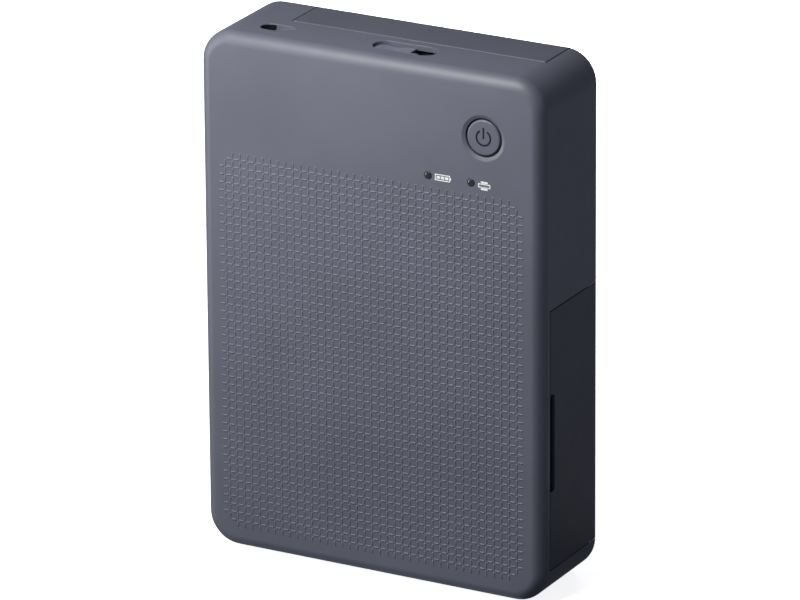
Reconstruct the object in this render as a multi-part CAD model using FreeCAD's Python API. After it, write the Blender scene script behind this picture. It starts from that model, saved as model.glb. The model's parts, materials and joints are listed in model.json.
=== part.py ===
import FreeCAD, Part
import math
import os

V = FreeCAD.Vector

# Compact photo printer that stands upright, in millimetres.
# X runs to the right, Y to the rear, Z up. The origin is the middle of the foot face.
# The case wraps round the paper, the film cassette and the drive beside them.

# Paper
paper_width = 72.0
paper_length = 85.0
paper_side_play = 0.45
stack_room = 6.6

# Case
drive_bay = 19.1
door_bay = 7.8
foot_room = 10.8
head_room = 6.35
corner_radius = 9.0
front_edge_radius = 3.5
rear_edge_radius = 3.0
side_wall = 2.2
face_wall = 2.0
back_wall = 2.0
inner_edge_radius = 1.5
rest_rib = 1.2
rest_rib_height = 1.6
rest_rib_shares = (0.2, 0.4, 0.6, 0.8)

# Clearances
seam_gap = 0.25
fit_gap = 0.15
running_gap = 0.05
side_play = 0.2
overrun = 2.0

# Paper cover at the rear
cover_side = 1.65
cover_above_capstan = 4.92
cover_flange_depth = 15.95
cover_wall = 1.8
cover_rib_width = 1.2
cover_rib_height = 1.1
cover_rib_spacing = 21.0
cover_pin_radius = 1.0
cover_pin_length = 7.6
cover_pin_seat = 1.1
lug_radius = 2.4
hook_width = 3.0
hook_thickness = 1.0
hook_drop = 3.4
hook_spacing = 26.0
hook_setback = 1.5

# Cassette door in the right side
door_height = 73.0
door_front_margin = 4.45
door_wall = 2.2
door_rib_height = 2.3
door_rib_width = 1.4
door_rib_shares = (0.18, 0.5, 0.82)
door_pin_radius = 0.8
door_pin_length = 9.0
door_pin_seat = 4.5
scoop_bottom = 22.3
scoop_length = 27.1
scoop_start = 2.85
scoop_lip = 5.35
scoop_end = 7.15
scoop_depth = 1.6
scoop_radius = 2.6

# Controls on the front
button_from_top = 17.37
button_from_right = 17.35
button_hole_radius = 5.32
button_radius = 4.88
button_flange_radius = 6.0
button_flange = 0.8
button_dish_radius = 6.3
button_dish_depth = 0.45
button_travel = 0.5
button_stem_radius = 1.4
button_crown = 0.25
lens_radius = 1.05
lens_flange_radius = 1.7
lens_flange = 0.8
lens_below_button = 12.78
charge_lens_beside_button = 16.2
status_lens_beside_button = 3.53

# Release lever in the top
lever_shift = -0.15
lever_recess_length = 18.7
lever_recess_width = 6.9
lever_recess_depth = 1.9
lever_floor_length = 10.6
lever_rim = 1.5
lever_from_front = 10.3
lever_length = 13.2
lever_travel = 4.3
lever_height = 0.95
lever_scoop_radius = 10.0
lever_scoop_depth = 0.5
lever_scoop_share = 0.34
lever_notch_length = 2.5
lever_notch_forward = 0.5
lever_neck_length = 5.0
lever_neck_width = 2.6
lever_slot_length = 14.2
lever_pad = 1.2
lever_pad_margin = 2.2
latch_plate = 1.2
latch_overhang = 5.0
latch_width = 8.4
latch_arm_width = 2.0
latch_arm_reach = 4.2
lever_spring_thickness = 0.4

# Strap eye in the top
strap_from_left = 18.6
strap_length = 9.8
strap_width = 4.9
strap_from_front = 9.8
strap_depth = 5.4
strap_wall = 1.3
strap_hole_length = 3.2
strap_pin_radius = 0.5
strap_pin_depth = 0.9
strap_groove_depth = 1.4
strap_groove_end = 0.3

# Paper path
slot_opening = 4.6
slot_side = 0.65
guide_inset = 2.2

# Paper tray and pressure plate
tray_wall = 1.4
tray_floor = 1.2
tray_drop = 1.2
tray_foot = 1.2
tray_mouth = 2.6
tray_window_play = 0.7
tray_ridge = 0.45
tray_ridge_width = 1.0
tray_ridge_shares = (0.06, 0.22, 0.5, 0.78, 0.94)
pressure_thickness = 1.0
pressure_margin = 5.0
pressure_height = 45.0
pressure_base = 6.0
pressure_gap = 3.45
pressure_flange = 1.8
pressure_travel = 1.6
rivet_radius = 1.3
rivet_head_radius = 2.4
rivet_head = 0.7
rivet_spacing = 40.0
spring_strip = 0.35
spring_strip_width = 7.0
spring_span = 24.0

# Chassis
plate_thickness = 1.2
plate_front_gap = 0.3
plate_rear_gap = 0.45
plate_above_motor = 9.0
plate_above_pickup = 6.65
plates_bottom = 11.0
plate_corner = 2.0
ear_length = 6.5
ear_height = 8.0
bracket_thickness = 1.2
bracket_bottom = 16.0
bracket_above_motor = 6.0
bracket_margin = 1.4
post_radius = 1.8
tie_radius = 1.5
bush_radius = 3.4
bush_flange_radius = 4.2
bush_flange = 0.4
pin_radius = 1.0

# Drive train
gear_module = 0.8
pressure_angle = math.radians(25.0)
addendum_share = 0.85
dedendum_share = 1.1
tooth_thinning = 0.11
web_holes = 6
web_hole_share = 0.3
gear_width = 3.0
gear_space = 0.6
pinion_teeth = 10
reduction_teeth = 26
reduction_small_teeth = 12
pickup_teeth = 20
takeup_teeth = 20
idler_teeth = 22
platen_teeth = 14
capstan_teeth = 12
motor_from_front = 9.45
motor_radius = 5.5
motor_length = 20.0
motor_flat = 4.6
motor_shaft_radius = 0.75
reduction_from_motor = 7.5
idler_from_takeup = 1.4
pinion_hub_radius = 2.0

# Rollers
pickup_radius = 6.0
pickup_proud = 0.8
pickup_tyre_width = 9.0
pickup_tyre_spacing = 30.0
pickup_shaft_radius = 2.0
platen_radius = 4.0
platen_shaft_radius = 2.2
roller_paper_gap = 0.12
pinch_radius = 2.0
pinch_journal_radius = 1.2
capstan_journal_radius = 2.4
shaft_overhang = 2.4

# Thermal head
head_bar_height = 6.0
head_bar_below = 2.0
head_bar_depth = 4.6
head_margin = 1.25
sink_gap = 1.68
sink_height = 15.0
sink_base = 1.8
sink_fins = 6
sink_fin_width = 0.9
head_ear = 1.2
head_ear_gap = 0.33
head_pivot_up = 11.15
head_pin_radius = 1.0
head_ear_radius = 2.1
head_line_radius = 1.2
head_line_rise = 1.5

# Film cassette
tube_radius = 7.5
tube_wall = 0.9
tube_front_space = 1.95
tube_rear_space = 1.1
cassette_end_gap = 0.7
cassette_cap = 1.2
cassette_rail = 2.1
cassette_rail_length = 1.7
slit_width = 2.2
takeup_slit_angle = -70.0
supply_slit_angle = 48.0
spool_radius = 2.4
spool_flange_gap = 0.6
spool_roll_gap = 0.3
spool_flange = 0.8
spool_shaft_radius = 1.2
supply_roll_radius = 4.4
head_above_tube = 3.85
film_margin = 2.0
film_thickness = 0.15
cassette_play = 0.4
grip_depth = 5.0
runner_width = 1.6

# Electronics
board_thickness = 1.0
board_standoff = 2.6
board_left_space = 2.9
board_right_space = 5.9
board_top_space = 8.1
board_clearance = 3.0
board_below_battery = 0.5
boss_radius = 2.1
screw_radius = 1.0
screw_head_radius = 1.9
screw_head = 1.2
board_screw_radius = 0.8
board_screw_head_radius = 1.6
board_screw_head = 0.7
board_inset = 2.3
battery_above_pickup = 12.65
battery_below_board_top = 1.5
battery_side = 0.6
battery_gap = 5.7
battery_thickness = 5.6
battery_edge_radius = 1.6
usb_width = 8.94
usb_opening = 3.26
usb_length = 7.3
usb_wall = 0.3
usb_tongue = 0.7
switch_size = 4.5
switch_body = 0.9
chip_shares = [(0.32, 0.17, 0.24, 0.5, 1.0), (0.62, 0.17, 0.16, 0.38, 0.8), (0.85, 0.29, 0.3, 0.55, 1.3),
               (1.25, 0.17, 0.12, 0.3, 1.6), (1.43, 0.17, 0.12, 0.3, 1.6)]

# Screws that close the case
case_screw_inset = 4.9
case_screw_corner = 8.5
case_screw_bottom = 6.4
case_screw_down = 7.4
case_screw_middle = 60.0
case_screw_length = 8.0

# The case across and from front to back, worked out from what it holds
cover_width = paper_width + 2 * cover_side
case_width = drive_bay + cover_width + door_bay
tube_from_front = face_wall + tube_front_space + tube_radius
paper_line = tube_from_front + tube_radius + tube_rear_space
case_depth = paper_line + stack_room + pressure_thickness + pressure_gap + cover_wall
left = -case_width / 2
right = case_width / 2
front = -case_depth / 2
back = case_depth / 2
inner_left = left + side_wall
inner_right = right - side_wall
inner_front = front + face_wall
inner_back = back - back_wall
cover_left = left + drive_bay
cover_right = right - door_bay
cover_offset = (cover_left + cover_right) / 2
cover_front = back - cover_flange_depth
cover_inner = back - cover_wall
paper_y = front + paper_line
tray_left = cover_offset - paper_width / 2 - paper_side_play
tray_right = cover_offset + paper_width / 2 + paper_side_play
tray_face = paper_y - tray_drop
tray_back = tray_face - tray_floor
tray_rear = cover_inner - seam_gap
pressure_back = cover_inner - pressure_gap
pressure_front = pressure_back - pressure_thickness
pressure_width = paper_width - 2 * pressure_margin
left_plate_x = tray_left - tray_wall - side_play - plate_thickness
right_plate_x = tray_right + tray_wall + side_play
plate_front = inner_front + plate_front_gap
plate_rear = inner_back - plate_rear_gap
near_gears_x = left_plate_x - gear_space - gear_width
far_gears_x = near_gears_x - gear_space - gear_width
bracket_x = far_gears_x - gear_space - bracket_thickness
head_width = paper_width - 2 * head_margin
film_width = paper_width - 2 * film_margin
cassette_x0 = left_plate_x + plate_thickness + cassette_play
cassette_x1 = right_plate_x - cassette_end_gap
motor_y = front + motor_from_front
takeup_y = front + tube_from_front
pickup_y = tray_face + pickup_proud - pickup_radius
capstan_radius = platen_radius * capstan_teeth / platen_teeth
rail_y = takeup_y - tube_radius
spool_flange_radius = tube_radius - tube_wall - spool_flange_gap
takeup_roll_radius = spool_flange_radius - spool_roll_gap


def pitch_radius(teeth):
    return gear_module * teeth / 2


def above(start, y, distance):
    # the point above start that is at the given distance from it and at the given y
    return (y, start[1] + math.sqrt(distance ** 2 - (y - start[0]) ** 2))


def mesh_distance(first, second):
    return pitch_radius(first) + pitch_radius(second)


# Shaft centres as (y, z) from the foot up, each placed so that its gear meshes with the one before it
supply_axis = (takeup_y, side_wall + foot_room + tube_radius)
platen_axis = (paper_y + roller_paper_gap + platen_radius, supply_axis[1] + tube_radius + head_above_tube)
idler_axis = above(platen_axis, takeup_y + idler_from_takeup, mesh_distance(platen_teeth, idler_teeth))
capstan_axis = above(idler_axis, paper_y + roller_paper_gap + capstan_radius,
                     mesh_distance(idler_teeth, capstan_teeth))
takeup_axis = above(idler_axis, takeup_y, mesh_distance(idler_teeth, takeup_teeth))
pickup_axis = above(takeup_axis, pickup_y, mesh_distance(takeup_teeth, pickup_teeth))
reduction_axis = above(pickup_axis, motor_y + reduction_from_motor,
                       mesh_distance(pickup_teeth, reduction_small_teeth))
motor_axis = above(reduction_axis, motor_y, mesh_distance(reduction_teeth, pinion_teeth))
pinch_axis = (paper_y - roller_paper_gap - pinch_radius, capstan_axis[1])
head_tip = (paper_y - roller_paper_gap, platen_axis[1])
head_pivot = (rail_y + cassette_rail + head_ear_gap + head_ear_radius, head_tip[1] + head_pivot_up)
sink_back = head_tip[0] - head_bar_depth
sink_front = rail_y + cassette_rail + sink_gap
tie_axes = [(plate_rear - 2 * tie_radius, supply_axis[1] - tie_radius),
            (plate_front + 3 * tie_radius, pickup_axis[1] - 3.5 * tie_radius)]

# The heights that follow from the drive and the paper above it
cover_axis = (back - rear_edge_radius, capstan_axis[1] + cover_above_capstan)
cover_bottom = cover_axis[1] - rear_edge_radius
tray_bottom = cover_axis[1]
tray_top = tray_bottom + paper_length + paper_side_play
case_height = tray_top + head_room
inner_top = case_height - side_wall
pressure_low = tray_bottom + pressure_base
pressure_middle = pressure_low + pressure_height / 2
left_plate_top = motor_axis[1] + plate_above_motor
right_plate_top = pickup_axis[1] + plate_above_pickup
bracket_top = motor_axis[1] + bracket_above_motor
battery_bottom = pickup_axis[1] + battery_above_pickup
battery_left = left_plate_x + plate_thickness + motor_length + side_wall + battery_gap
battery_right = tray_right - battery_side
board_left = inner_left + board_left_space
board_right = inner_right - board_right_space
board_top = inner_top - board_top_space
board_step = left_plate_top + board_clearance
board_bottom = battery_bottom - board_below_battery
board_notch = battery_left - board_clearance
board_front = inner_front + board_standoff
board_back = board_front + board_thickness
usb_height = (board_step + board_top) / 2

# Places on the outside
door_bottom = corner_radius
door_top = door_bottom + door_height
door_front = front + door_front_margin
door_axis = (right - rear_edge_radius, back - rear_edge_radius)
button_x = right - button_from_right
button_z = case_height - button_from_top
charge_lens_x = button_x - charge_lens_beside_button
status_lens_x = button_x - status_lens_beside_button
lens_z = button_z - lens_below_button
lever_x = cover_offset + lever_shift
lever_y = front + lever_from_front
latch_length = hook_spacing + 2 * latch_overhang
latch_top = inner_top - lever_pad - running_gap
lever_spring_start = lever_x + latch_length / 2 - lever_travel / 2
lever_spring_end = lever_spring_start + 2 * lever_travel
strap_x = left + strap_from_left
strap_y = front + strap_from_front
case_screw_side = case_width / 2 - case_screw_inset
case_screw_bottom_side = case_width / 2 - case_screw_corner
case_screw_top = case_height - case_screw_down


# Shapes
def block(x0, x1, y0, y1, z0, z1):
    return Part.makeBox(x1 - x0, y1 - y0, z1 - z0, V(x0, y0, z0))


def rounded_block(x0, x1, y0, y1, z0, z1, radius, axis):
    # a block whose four edges along one axis are rounded
    solid = block(x0, x1, y0, y1, z0, z1)
    picked = [edge for edge in solid.Edges if runs_along(edge, axis)]
    return solid.makeFillet(radius, picked).Solids[0]


def runs_along(edge, axis):
    direction = edge.tangentAt(edge.FirstParameter)
    return abs(getattr(direction, axis)) > math.cos(math.radians(1.0))


def rod_x(radius, x0, x1, centre):
    return Part.makeCylinder(radius, x1 - x0, V(x0, centre[0], centre[1]), V(1, 0, 0))


def rod_y(radius, y0, y1, x, z):
    return Part.makeCylinder(radius, y1 - y0, V(x, y0, z), V(0, 1, 0))


def rod_z(radius, z0, z1, centre):
    return Part.makeCylinder(radius, z1 - z0, V(centre[0], centre[1], z0), V(0, 0, 1))


def obround_z(length, width, z0, z1, x, y):
    # a slot shape with round ends, its long way along X
    half = (length - width) / 2
    middle = block(x - half, x + half, y - width / 2, y + width / 2, z0, z1)
    ends = [rod_z(width / 2, z0, z1, (x + side * half, y)) for side in (-1, 1)]
    return middle.fuse(ends).removeSplitter()


def profile_x(points, x0, x1):
    # an outline of (y, z) points carried along X
    wire = Part.makePolygon([V(x0, y, z) for y, z in points + points[:1]])
    return Part.Face(wire).extrude(V(x1 - x0, 0, 0))


def profile_z(points, z0, z1):
    # an outline of (x, y) points carried up Z
    wire = Part.makePolygon([V(x, y, z0) for x, y in points + points[:1]])
    return Part.Face(wire).extrude(V(0, 0, z1 - z0))


def ring_x(outer, inner, x0, x1, centre):
    return rod_x(outer, x0, x1, centre).cut(rod_x(inner, x0 - overrun, x1 + overrun, centre))


def joined(shapes):
    return shapes[0].fuse(shapes[1:]).removeSplitter()


def save(name, *solids):
    shape = solids[0] if len(solids) == 1 else Part.makeCompound(list(solids))
    shape.exportStep("parts/" + name + ".step")


# Case
def case_form(inset, front_y, back_y, front_radius, back_radius):
    # the upright box with its round corners, drawn in by inset on all four sides
    solid = rounded_block(left + inset, right - inset, front_y, back_y,
                          inset, case_height - inset, corner_radius - inset, "y")
    if front_radius:
        edges = [edge for edge in solid.Edges if edge.BoundBox.YMax < front_y + running_gap]
        solid = solid.makeFillet(front_radius, edges).Solids[0]
    if back_radius:
        edges = [edge for edge in solid.Edges if edge.BoundBox.YMin > back_y - running_gap]
        solid = solid.makeFillet(back_radius, edges).Solids[0]
    return solid


outer_form = case_form(0, front, back, front_edge_radius, rear_edge_radius)


def case_screw_places():
    return [(-case_screw_bottom_side, case_screw_bottom), (case_screw_bottom_side, case_screw_bottom),
            (-case_screw_side, case_screw_middle),
            (-case_screw_side + boss_radius, case_screw_top), (case_screw_side, case_screw_top)]


def board_screw_places():
    return [(board_left + board_inset, board_top - board_inset),
            (board_right - board_inset, board_top - board_inset),
            (board_right - board_inset, board_bottom + board_inset),
            (board_notch + board_inset, board_bottom + board_inset)]


def scoop_cutter():
    # a ramp that dives from the side face to the door's edge, with round corners
    y0 = front + scoop_start
    y1 = front + scoop_lip
    ramp = profile_z([(right, y0), (right + overrun, y0), (right + overrun, y1 + overrun),
                      (right - scoop_depth, y1 + overrun), (right - scoop_depth, y1)],
                     door_bottom + scoop_bottom, door_bottom + scoop_bottom + scoop_length)
    mask = rounded_block(right - side_wall * 2, right + overrun * 2, y0, y1 + overrun * 4,
                         door_bottom + scoop_bottom, door_bottom + scoop_bottom + scoop_length,
                         scoop_radius, "x")
    return ramp.common(mask)


def door_opening(gap):
    # what the door takes out of the right wall, with the tongue of the scoop left standing
    low = door_bottom - gap
    high = door_top + gap
    opening = block(inner_right - overrun * 2, right + overrun, door_front - gap, back + overrun, low, high)
    tongue = block(inner_right - overrun, right + overrun, door_front - gap - overrun, front + scoop_lip,
                   door_bottom + scoop_bottom, door_bottom + scoop_bottom + scoop_length)
    return opening.cut(tongue)


def rest_ribs():
    # low ribs up the left wall and across the foot, whose ends carry the edge of the rear case
    ribs = []
    for share in rest_rib_shares:
        z = case_height * share
        ribs.append(block(left + side_wall / 2, inner_left + rest_rib_height, inner_front - face_wall / 2,
                          inner_back, z - rest_rib / 2, z + rest_rib / 2))
        x = left + case_width * share
        ribs.append(block(x - rest_rib / 2, x + rest_rib / 2, paper_y + slot_opening / 2 + side_wall,
                          inner_back, side_wall / 2, side_wall + rest_rib_height))
    return ribs


def lever_window(margin, low, high):
    # the right end of the lever's recess, which is open to the inside and a little wider there
    reach = lever_recess_length / 2
    form = obround_z(lever_recess_length + 2 * margin, lever_recess_width + 2 * margin, low - overrun, high,
                     lever_x, lever_y)
    return form.common(block(lever_x - reach + lever_floor_length, lever_x + reach + margin, front, back,
                             low - overrun, high))


def make_front_case():
    cavity = case_form(side_wall, inner_front, back + overrun, inner_edge_radius, 0)
    shell = outer_form.cut(cavity)
    pad_length = lever_recess_length + 2 * lever_pad_margin
    pad_width = lever_recess_width + 2 * lever_pad_margin
    pad = obround_z(pad_length, pad_width, inner_top - lever_pad, inner_top + side_wall / 2,
                    lever_x, lever_y)
    extra = [pad.cut(lever_window(overrun, inner_top - lever_pad, inner_top))]
    for x, z in case_screw_places():
        extra.append(rod_y(boss_radius, inner_front - face_wall / 2, inner_back, x, z))
    for x, z in board_screw_places():
        extra.append(rod_y(boss_radius, inner_front - face_wall / 2, board_front, x, z))
    hinge_boss = rear_edge_radius - door_pin_radius / 2
    extra.append(rod_z(hinge_boss, door_top + seam_gap, door_top + seam_gap + 2 * door_pin_seat, door_axis))
    extra.append(rod_z(hinge_boss, side_wall / 2, door_bottom - seam_gap, door_axis))
    for centre in (takeup_axis, supply_axis):
        extra.append(block(left_plate_x + plate_thickness + seam_gap, right_plate_x - seam_gap,
                           inner_front - face_wall / 2, takeup_y - tube_radius - seam_gap,
                           centre[1] - runner_width / 2, centre[1] + runner_width / 2))
    extra.append(block(lever_spring_end, lever_spring_end + side_wall, lever_y - latch_width / 4,
                       lever_y + latch_width / 4, latch_top - latch_plate, inner_top + side_wall / 2))
    extra += rest_ribs()
    shell = joined([shell] + extra).common(outer_form)
    cuts = [door_opening(seam_gap / 2),
            block(cover_left - seam_gap, cover_right + seam_gap, cover_front - seam_gap, back + overrun,
                  case_height - corner_radius, case_height + overrun),
            scoop_cutter()]
    cuts.append(rod_y(button_hole_radius, front - overrun, inner_front + overrun, button_x, button_z))
    dish = Part.makeCone(button_dish_radius, button_hole_radius, button_dish_depth,
                         V(button_x, front, button_z), V(0, 1, 0))
    cuts.append(dish)
    for x in (charge_lens_x, status_lens_x):
        cuts.append(rod_y(lens_radius + running_gap, front - overrun, inner_front + overrun, x, lens_z))
    slot_half = slot_opening / 2
    cuts.append(rounded_block(tray_left - slot_side, tray_right + slot_side, paper_y - slot_half,
                              paper_y + slot_half, -overrun, side_wall + overrun, slot_side, "z"))
    cuts.append(obround_z(lever_recess_length, lever_recess_width, case_height - lever_recess_depth,
                          case_height + overrun, lever_x, lever_y))
    cuts.append(obround_z(lever_slot_length, lever_neck_width + 2 * fit_gap, inner_top - lever_pad - overrun,
                          case_height, lever_x, lever_y))
    cuts += [lever_window(0, inner_top, case_height),
             lever_window(lever_rim, inner_top, case_height - lever_rim)]
    cuts += [strap_hole(0, inner_top - overrun, case_height + overrun), strap_groove()]
    usb_y = board_back + usb_opening / 2
    cuts.append(rounded_block(left - overrun, inner_left + overrun,
                              usb_y - usb_opening / 2 - fit_gap, usb_y + usb_opening / 2 + fit_gap,
                              usb_height - usb_width / 2 - fit_gap, usb_height + usb_width / 2 + fit_gap,
                              usb_opening / 2, "x"))
    for x, z in case_screw_places():
        cuts.append(rod_y(screw_radius + running_gap, inner_back - case_screw_length, inner_back + overrun,
                          x, z))
    for x, z in board_screw_places():
        cuts.append(rod_y(board_screw_radius + running_gap, inner_front, board_front + overrun, x, z))
    pin_low = door_bottom - door_pin_seat
    cuts.append(rod_z(door_pin_radius, pin_low, door_bottom, door_axis))
    cuts.append(rod_z(door_pin_radius, door_top, door_top + door_pin_seat, door_axis))
    save("front_case", shell.cut(cuts).Solids[0])


def make_rear_case():
    plate = case_form(side_wall + fit_gap, inner_back, back, 0, 0)
    lugs = [rod_x(lug_radius, cover_left - seam_gap - cover_pin_seat, cover_left - seam_gap, cover_axis),
            rod_x(lug_radius, cover_right + seam_gap, cover_right + seam_gap + cover_pin_seat, cover_axis)]
    plate = plate.cut(block(cover_left - seam_gap, cover_right + seam_gap, inner_back - overrun, back + overrun,
                            cover_bottom - seam_gap, case_height + overrun))
    plate = plate.cut(rod_z(rear_edge_radius + seam_gap, door_bottom - 2 * door_pin_seat,
                            door_top + 3 * door_pin_seat, door_axis))
    for x, z in case_screw_places():
        plate = plate.cut([rod_y(screw_radius + running_gap, inner_back - overrun, back + overrun, x, z),
                           rod_y(screw_head_radius + fit_gap, back - screw_head, back + overrun, x, z)])
    shape = joined([plate] + lugs).common(outer_form)
    shape = shape.cut(rod_x(cover_pin_radius, cover_left - overrun - cover_pin_seat,
                            cover_right + overrun + cover_pin_seat, cover_axis))
    save("rear_case", shape.Solids[0])


def make_case_screws():
    screws = []
    for x, z in case_screw_places():
        head = rod_y(screw_head_radius, back - screw_head, back - 2 * fit_gap, x, z)
        shank = rod_y(screw_radius, back - screw_head - case_screw_length, back - screw_head, x, z)
        socket = block(x - screw_radius, x + screw_radius, back - screw_head / 2 - fit_gap, back,
                       z - fit_gap, z + fit_gap)
        cross = block(x - fit_gap, x + fit_gap, back - screw_head / 2 - fit_gap, back,
                      z - screw_radius, z + screw_radius)
        screws.append(joined([head, shank]).cut([socket, cross]))
    save("case_screws", *screws)


# Paper cover
def hook_places():
    return [cover_offset + side * hook_spacing / 2 - hook_width for side in (-1, 1)]


def make_rear_cover():
    body = block(cover_left, cover_right, cover_front, back + overrun, cover_axis[1], case_height + overrun)
    shell = outer_form.common(body)
    hollow = rounded_block(cover_left - overrun, cover_right + overrun, cover_front - case_depth, cover_inner,
                           cover_bottom - case_depth, inner_top, inner_edge_radius, "x")
    shell = shell.cut(hollow)
    extra = [rod_x(rear_edge_radius, cover_left, cover_right, cover_axis)]
    for place in (-1, 0, 1):
        rib_x = cover_offset + place * cover_rib_spacing
        extra.append(block(rib_x - cover_rib_width / 2, rib_x + cover_rib_width / 2,
                           cover_inner - cover_rib_height, cover_inner + cover_wall / 2,
                           cover_axis[1], inner_top - hook_drop))
    hook_y = cover_front + hook_setback
    for x in hook_places():
        tab = block(x, x + hook_width, hook_y, hook_y + hook_thickness,
                    inner_top - hook_drop, inner_top + side_wall / 2)
        extra.append(tab)
    for x in rivet_places():
        extra.append(rod_y(rivet_radius * 2, pressure_back + pressure_travel + fit_gap,
                           cover_inner + cover_wall / 2, x, pressure_middle))
    shape = joined([shell] + extra)
    bore = cover_pin_radius + running_gap
    depth = cover_pin_length - cover_pin_seat - seam_gap + fit_gap
    cuts = [rod_x(bore, cover_left - overrun, cover_left + depth, cover_axis),
            rod_x(bore, cover_right - depth, cover_right + overrun, cover_axis)]
    for x in rivet_places():
        cuts.append(rod_y(rivet_radius, pressure_front - overrun, cover_inner, x, pressure_middle))
    save("rear_cover", shape.cut(cuts).Solids[0])


def make_cover_pins():
    reach = cover_pin_seat + seam_gap
    pins = [rod_x(cover_pin_radius, cover_left - reach, cover_left - reach + cover_pin_length, cover_axis),
            rod_x(cover_pin_radius, cover_right + reach - cover_pin_length, cover_right + reach, cover_axis)]
    save("cover_pins", *pins)


def rivet_places():
    return [cover_offset + side * rivet_spacing / 2 for side in (-1, 1)]


def make_pressure_plate():
    x0 = cover_offset - pressure_width / 2
    x1 = cover_offset + pressure_width / 2
    top = pressure_low + pressure_height
    sheet = rounded_block(x0, x1, pressure_front, pressure_back, pressure_low, top, plate_corner, "y")
    lips = [block(x0 + plate_corner, x1 - plate_corner,
                  pressure_front, pressure_back + pressure_flange - fit_gap,
                  z, z + pressure_thickness) for z in (pressure_low, top - pressure_thickness)]
    plate = joined([sheet] + lips)
    for place in (-1, 0, 1):
        rib_x = cover_offset + place * cover_rib_spacing
        plate = plate.cut(block(rib_x - cover_rib_width, rib_x + cover_rib_width,
                                cover_inner - cover_rib_height - pressure_travel - fit_gap, cover_inner,
                                pressure_low - overrun, top + overrun))
    holes = [rod_y(rivet_radius + side_play, pressure_front - overrun, pressure_back + overrun,
                   x, pressure_middle) for x in rivet_places()]
    save("pressure_plate", plate.cut(holes).Solids[0])


def make_plate_rivets():
    rivets = []
    for x in rivet_places():
        shank = rod_y(rivet_radius, pressure_front - running_gap, cover_inner, x, pressure_middle)
        head = rod_y(rivet_head_radius, pressure_front - running_gap - rivet_head,
                     pressure_front - running_gap, x, pressure_middle)
        rivets.append(joined([shank, head]))
    save("plate_rivets", *rivets)


def make_pressure_springs():
    # bowed strips whose middle bears on the plate and whose ends bear on the cover
    strips = []
    for side in (-1, 1):
        x = cover_offset + side * cover_rib_spacing / 2
        z0 = pressure_middle - spring_span / 2
        z1 = pressure_middle + spring_span / 2
        outer = Part.Arc(V(x, cover_inner, z0), V(x, pressure_back, pressure_middle), V(x, cover_inner, z1))
        inner = Part.Arc(V(x, cover_inner, z0 + spring_strip),
                         V(x, pressure_back + spring_strip, pressure_middle),
                         V(x, cover_inner, z1 - spring_strip))
        ends = [Part.LineSegment(V(x, cover_inner, z0), V(x, cover_inner, z0 + spring_strip)),
                Part.LineSegment(V(x, cover_inner, z1), V(x, cover_inner, z1 - spring_strip))]
        wire = Part.Wire(Part.__sortEdges__([curve.toShape() for curve in [outer, inner] + ends]))
        strip = Part.Face(wire).extrude(V(spring_strip_width, 0, 0))
        strip.translate(V(-spring_strip_width / 2, 0, 0))
        strips.append(strip)
    save("pressure_springs", *strips)


# Cassette door
def make_cassette_door():
    gap = seam_gap / 2
    z0 = door_bottom + gap
    z1 = door_top - gap
    region = block(inner_right, right + overrun, door_front + gap, door_axis[1], z0, z1)
    panel = outer_form.common(region)
    barrel = rod_z(rear_edge_radius, z0, z1, door_axis)
    extra = [barrel]
    for share in door_rib_shares:
        z = z0 + (z1 - z0) * share
        extra.append(profile_z([(inner_right + door_wall / 2, door_front + gap + door_rib_height),
                                (inner_right, door_front + gap + door_rib_height / 2),
                                (inner_right - door_rib_height, door_front + 2 * door_rib_height),
                                (inner_right - door_rib_height, door_axis[1] - 2 * door_rib_height),
                                (inner_right + door_wall / 2, door_axis[1])],
                               z - door_rib_width / 2, z + door_rib_width / 2))
    shape = joined([panel] + extra)
    notch = rounded_block(inner_right - overrun, right + overrun, door_front - overrun * 2,
                          front + scoop_end, door_bottom + scoop_bottom - fit_gap,
                          door_bottom + scoop_bottom + scoop_length + fit_gap, scoop_radius / 2, "x")
    bore = door_pin_radius + running_gap
    depth = door_pin_length - door_pin_seat + fit_gap
    cuts = [notch, rod_z(bore, z0 - overrun, door_bottom + depth, door_axis),
            rod_z(bore, door_top - depth, z1 + overrun, door_axis)]
    save("cassette_door", shape.cut(cuts).Solids[0])


def make_door_pins():
    pins = [rod_z(door_pin_radius, door_bottom - door_pin_seat, door_bottom - door_pin_seat + door_pin_length,
                  door_axis),
            rod_z(door_pin_radius, door_top + door_pin_seat - door_pin_length, door_top + door_pin_seat,
                  door_axis)]
    save("door_pins", *pins)


# Controls
def make_power_button():
    face = front + button_crown
    cap = rod_y(button_radius, face, inner_front + running_gap + button_flange, button_x, button_z)
    edge = [curve for curve in cap.Edges if curve.BoundBox.YMax < face + running_gap]
    cap = cap.makeFillet(button_crown * 2, edge).Solids[0]
    flange = rod_y(button_flange_radius, inner_front + running_gap, inner_front + running_gap + button_flange,
                   button_x, button_z)
    stem = rod_y(button_stem_radius, inner_front, board_front - switch_body - button_travel - running_gap,
                 button_x, button_z)
    save("power_button", joined([cap, flange, stem]))


def make_power_switch():
    half = switch_size / 2
    can = rounded_block(button_x - half, button_x + half, board_front - switch_body, board_front,
                        button_z - half, button_z + half, half / 4, "y")
    save("power_switch", can)


def make_lens(name, x):
    pipe = rod_y(lens_radius, front, inner_front + lens_flange, x, lens_z)
    flange = rod_y(lens_flange_radius, inner_front, inner_front + lens_flange, x, lens_z)
    save(name, joined([pipe, flange]))


def indicator_chips():
    # the two lamps on the front of the board, behind the lenses
    chips = []
    for x in (charge_lens_x, status_lens_x):
        chips.append(block(x - lens_radius, x + lens_radius, inner_front + lens_flange + fit_gap, board_front,
                           lens_z - lens_radius / 2, lens_z + lens_radius / 2))
    return chips


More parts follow.
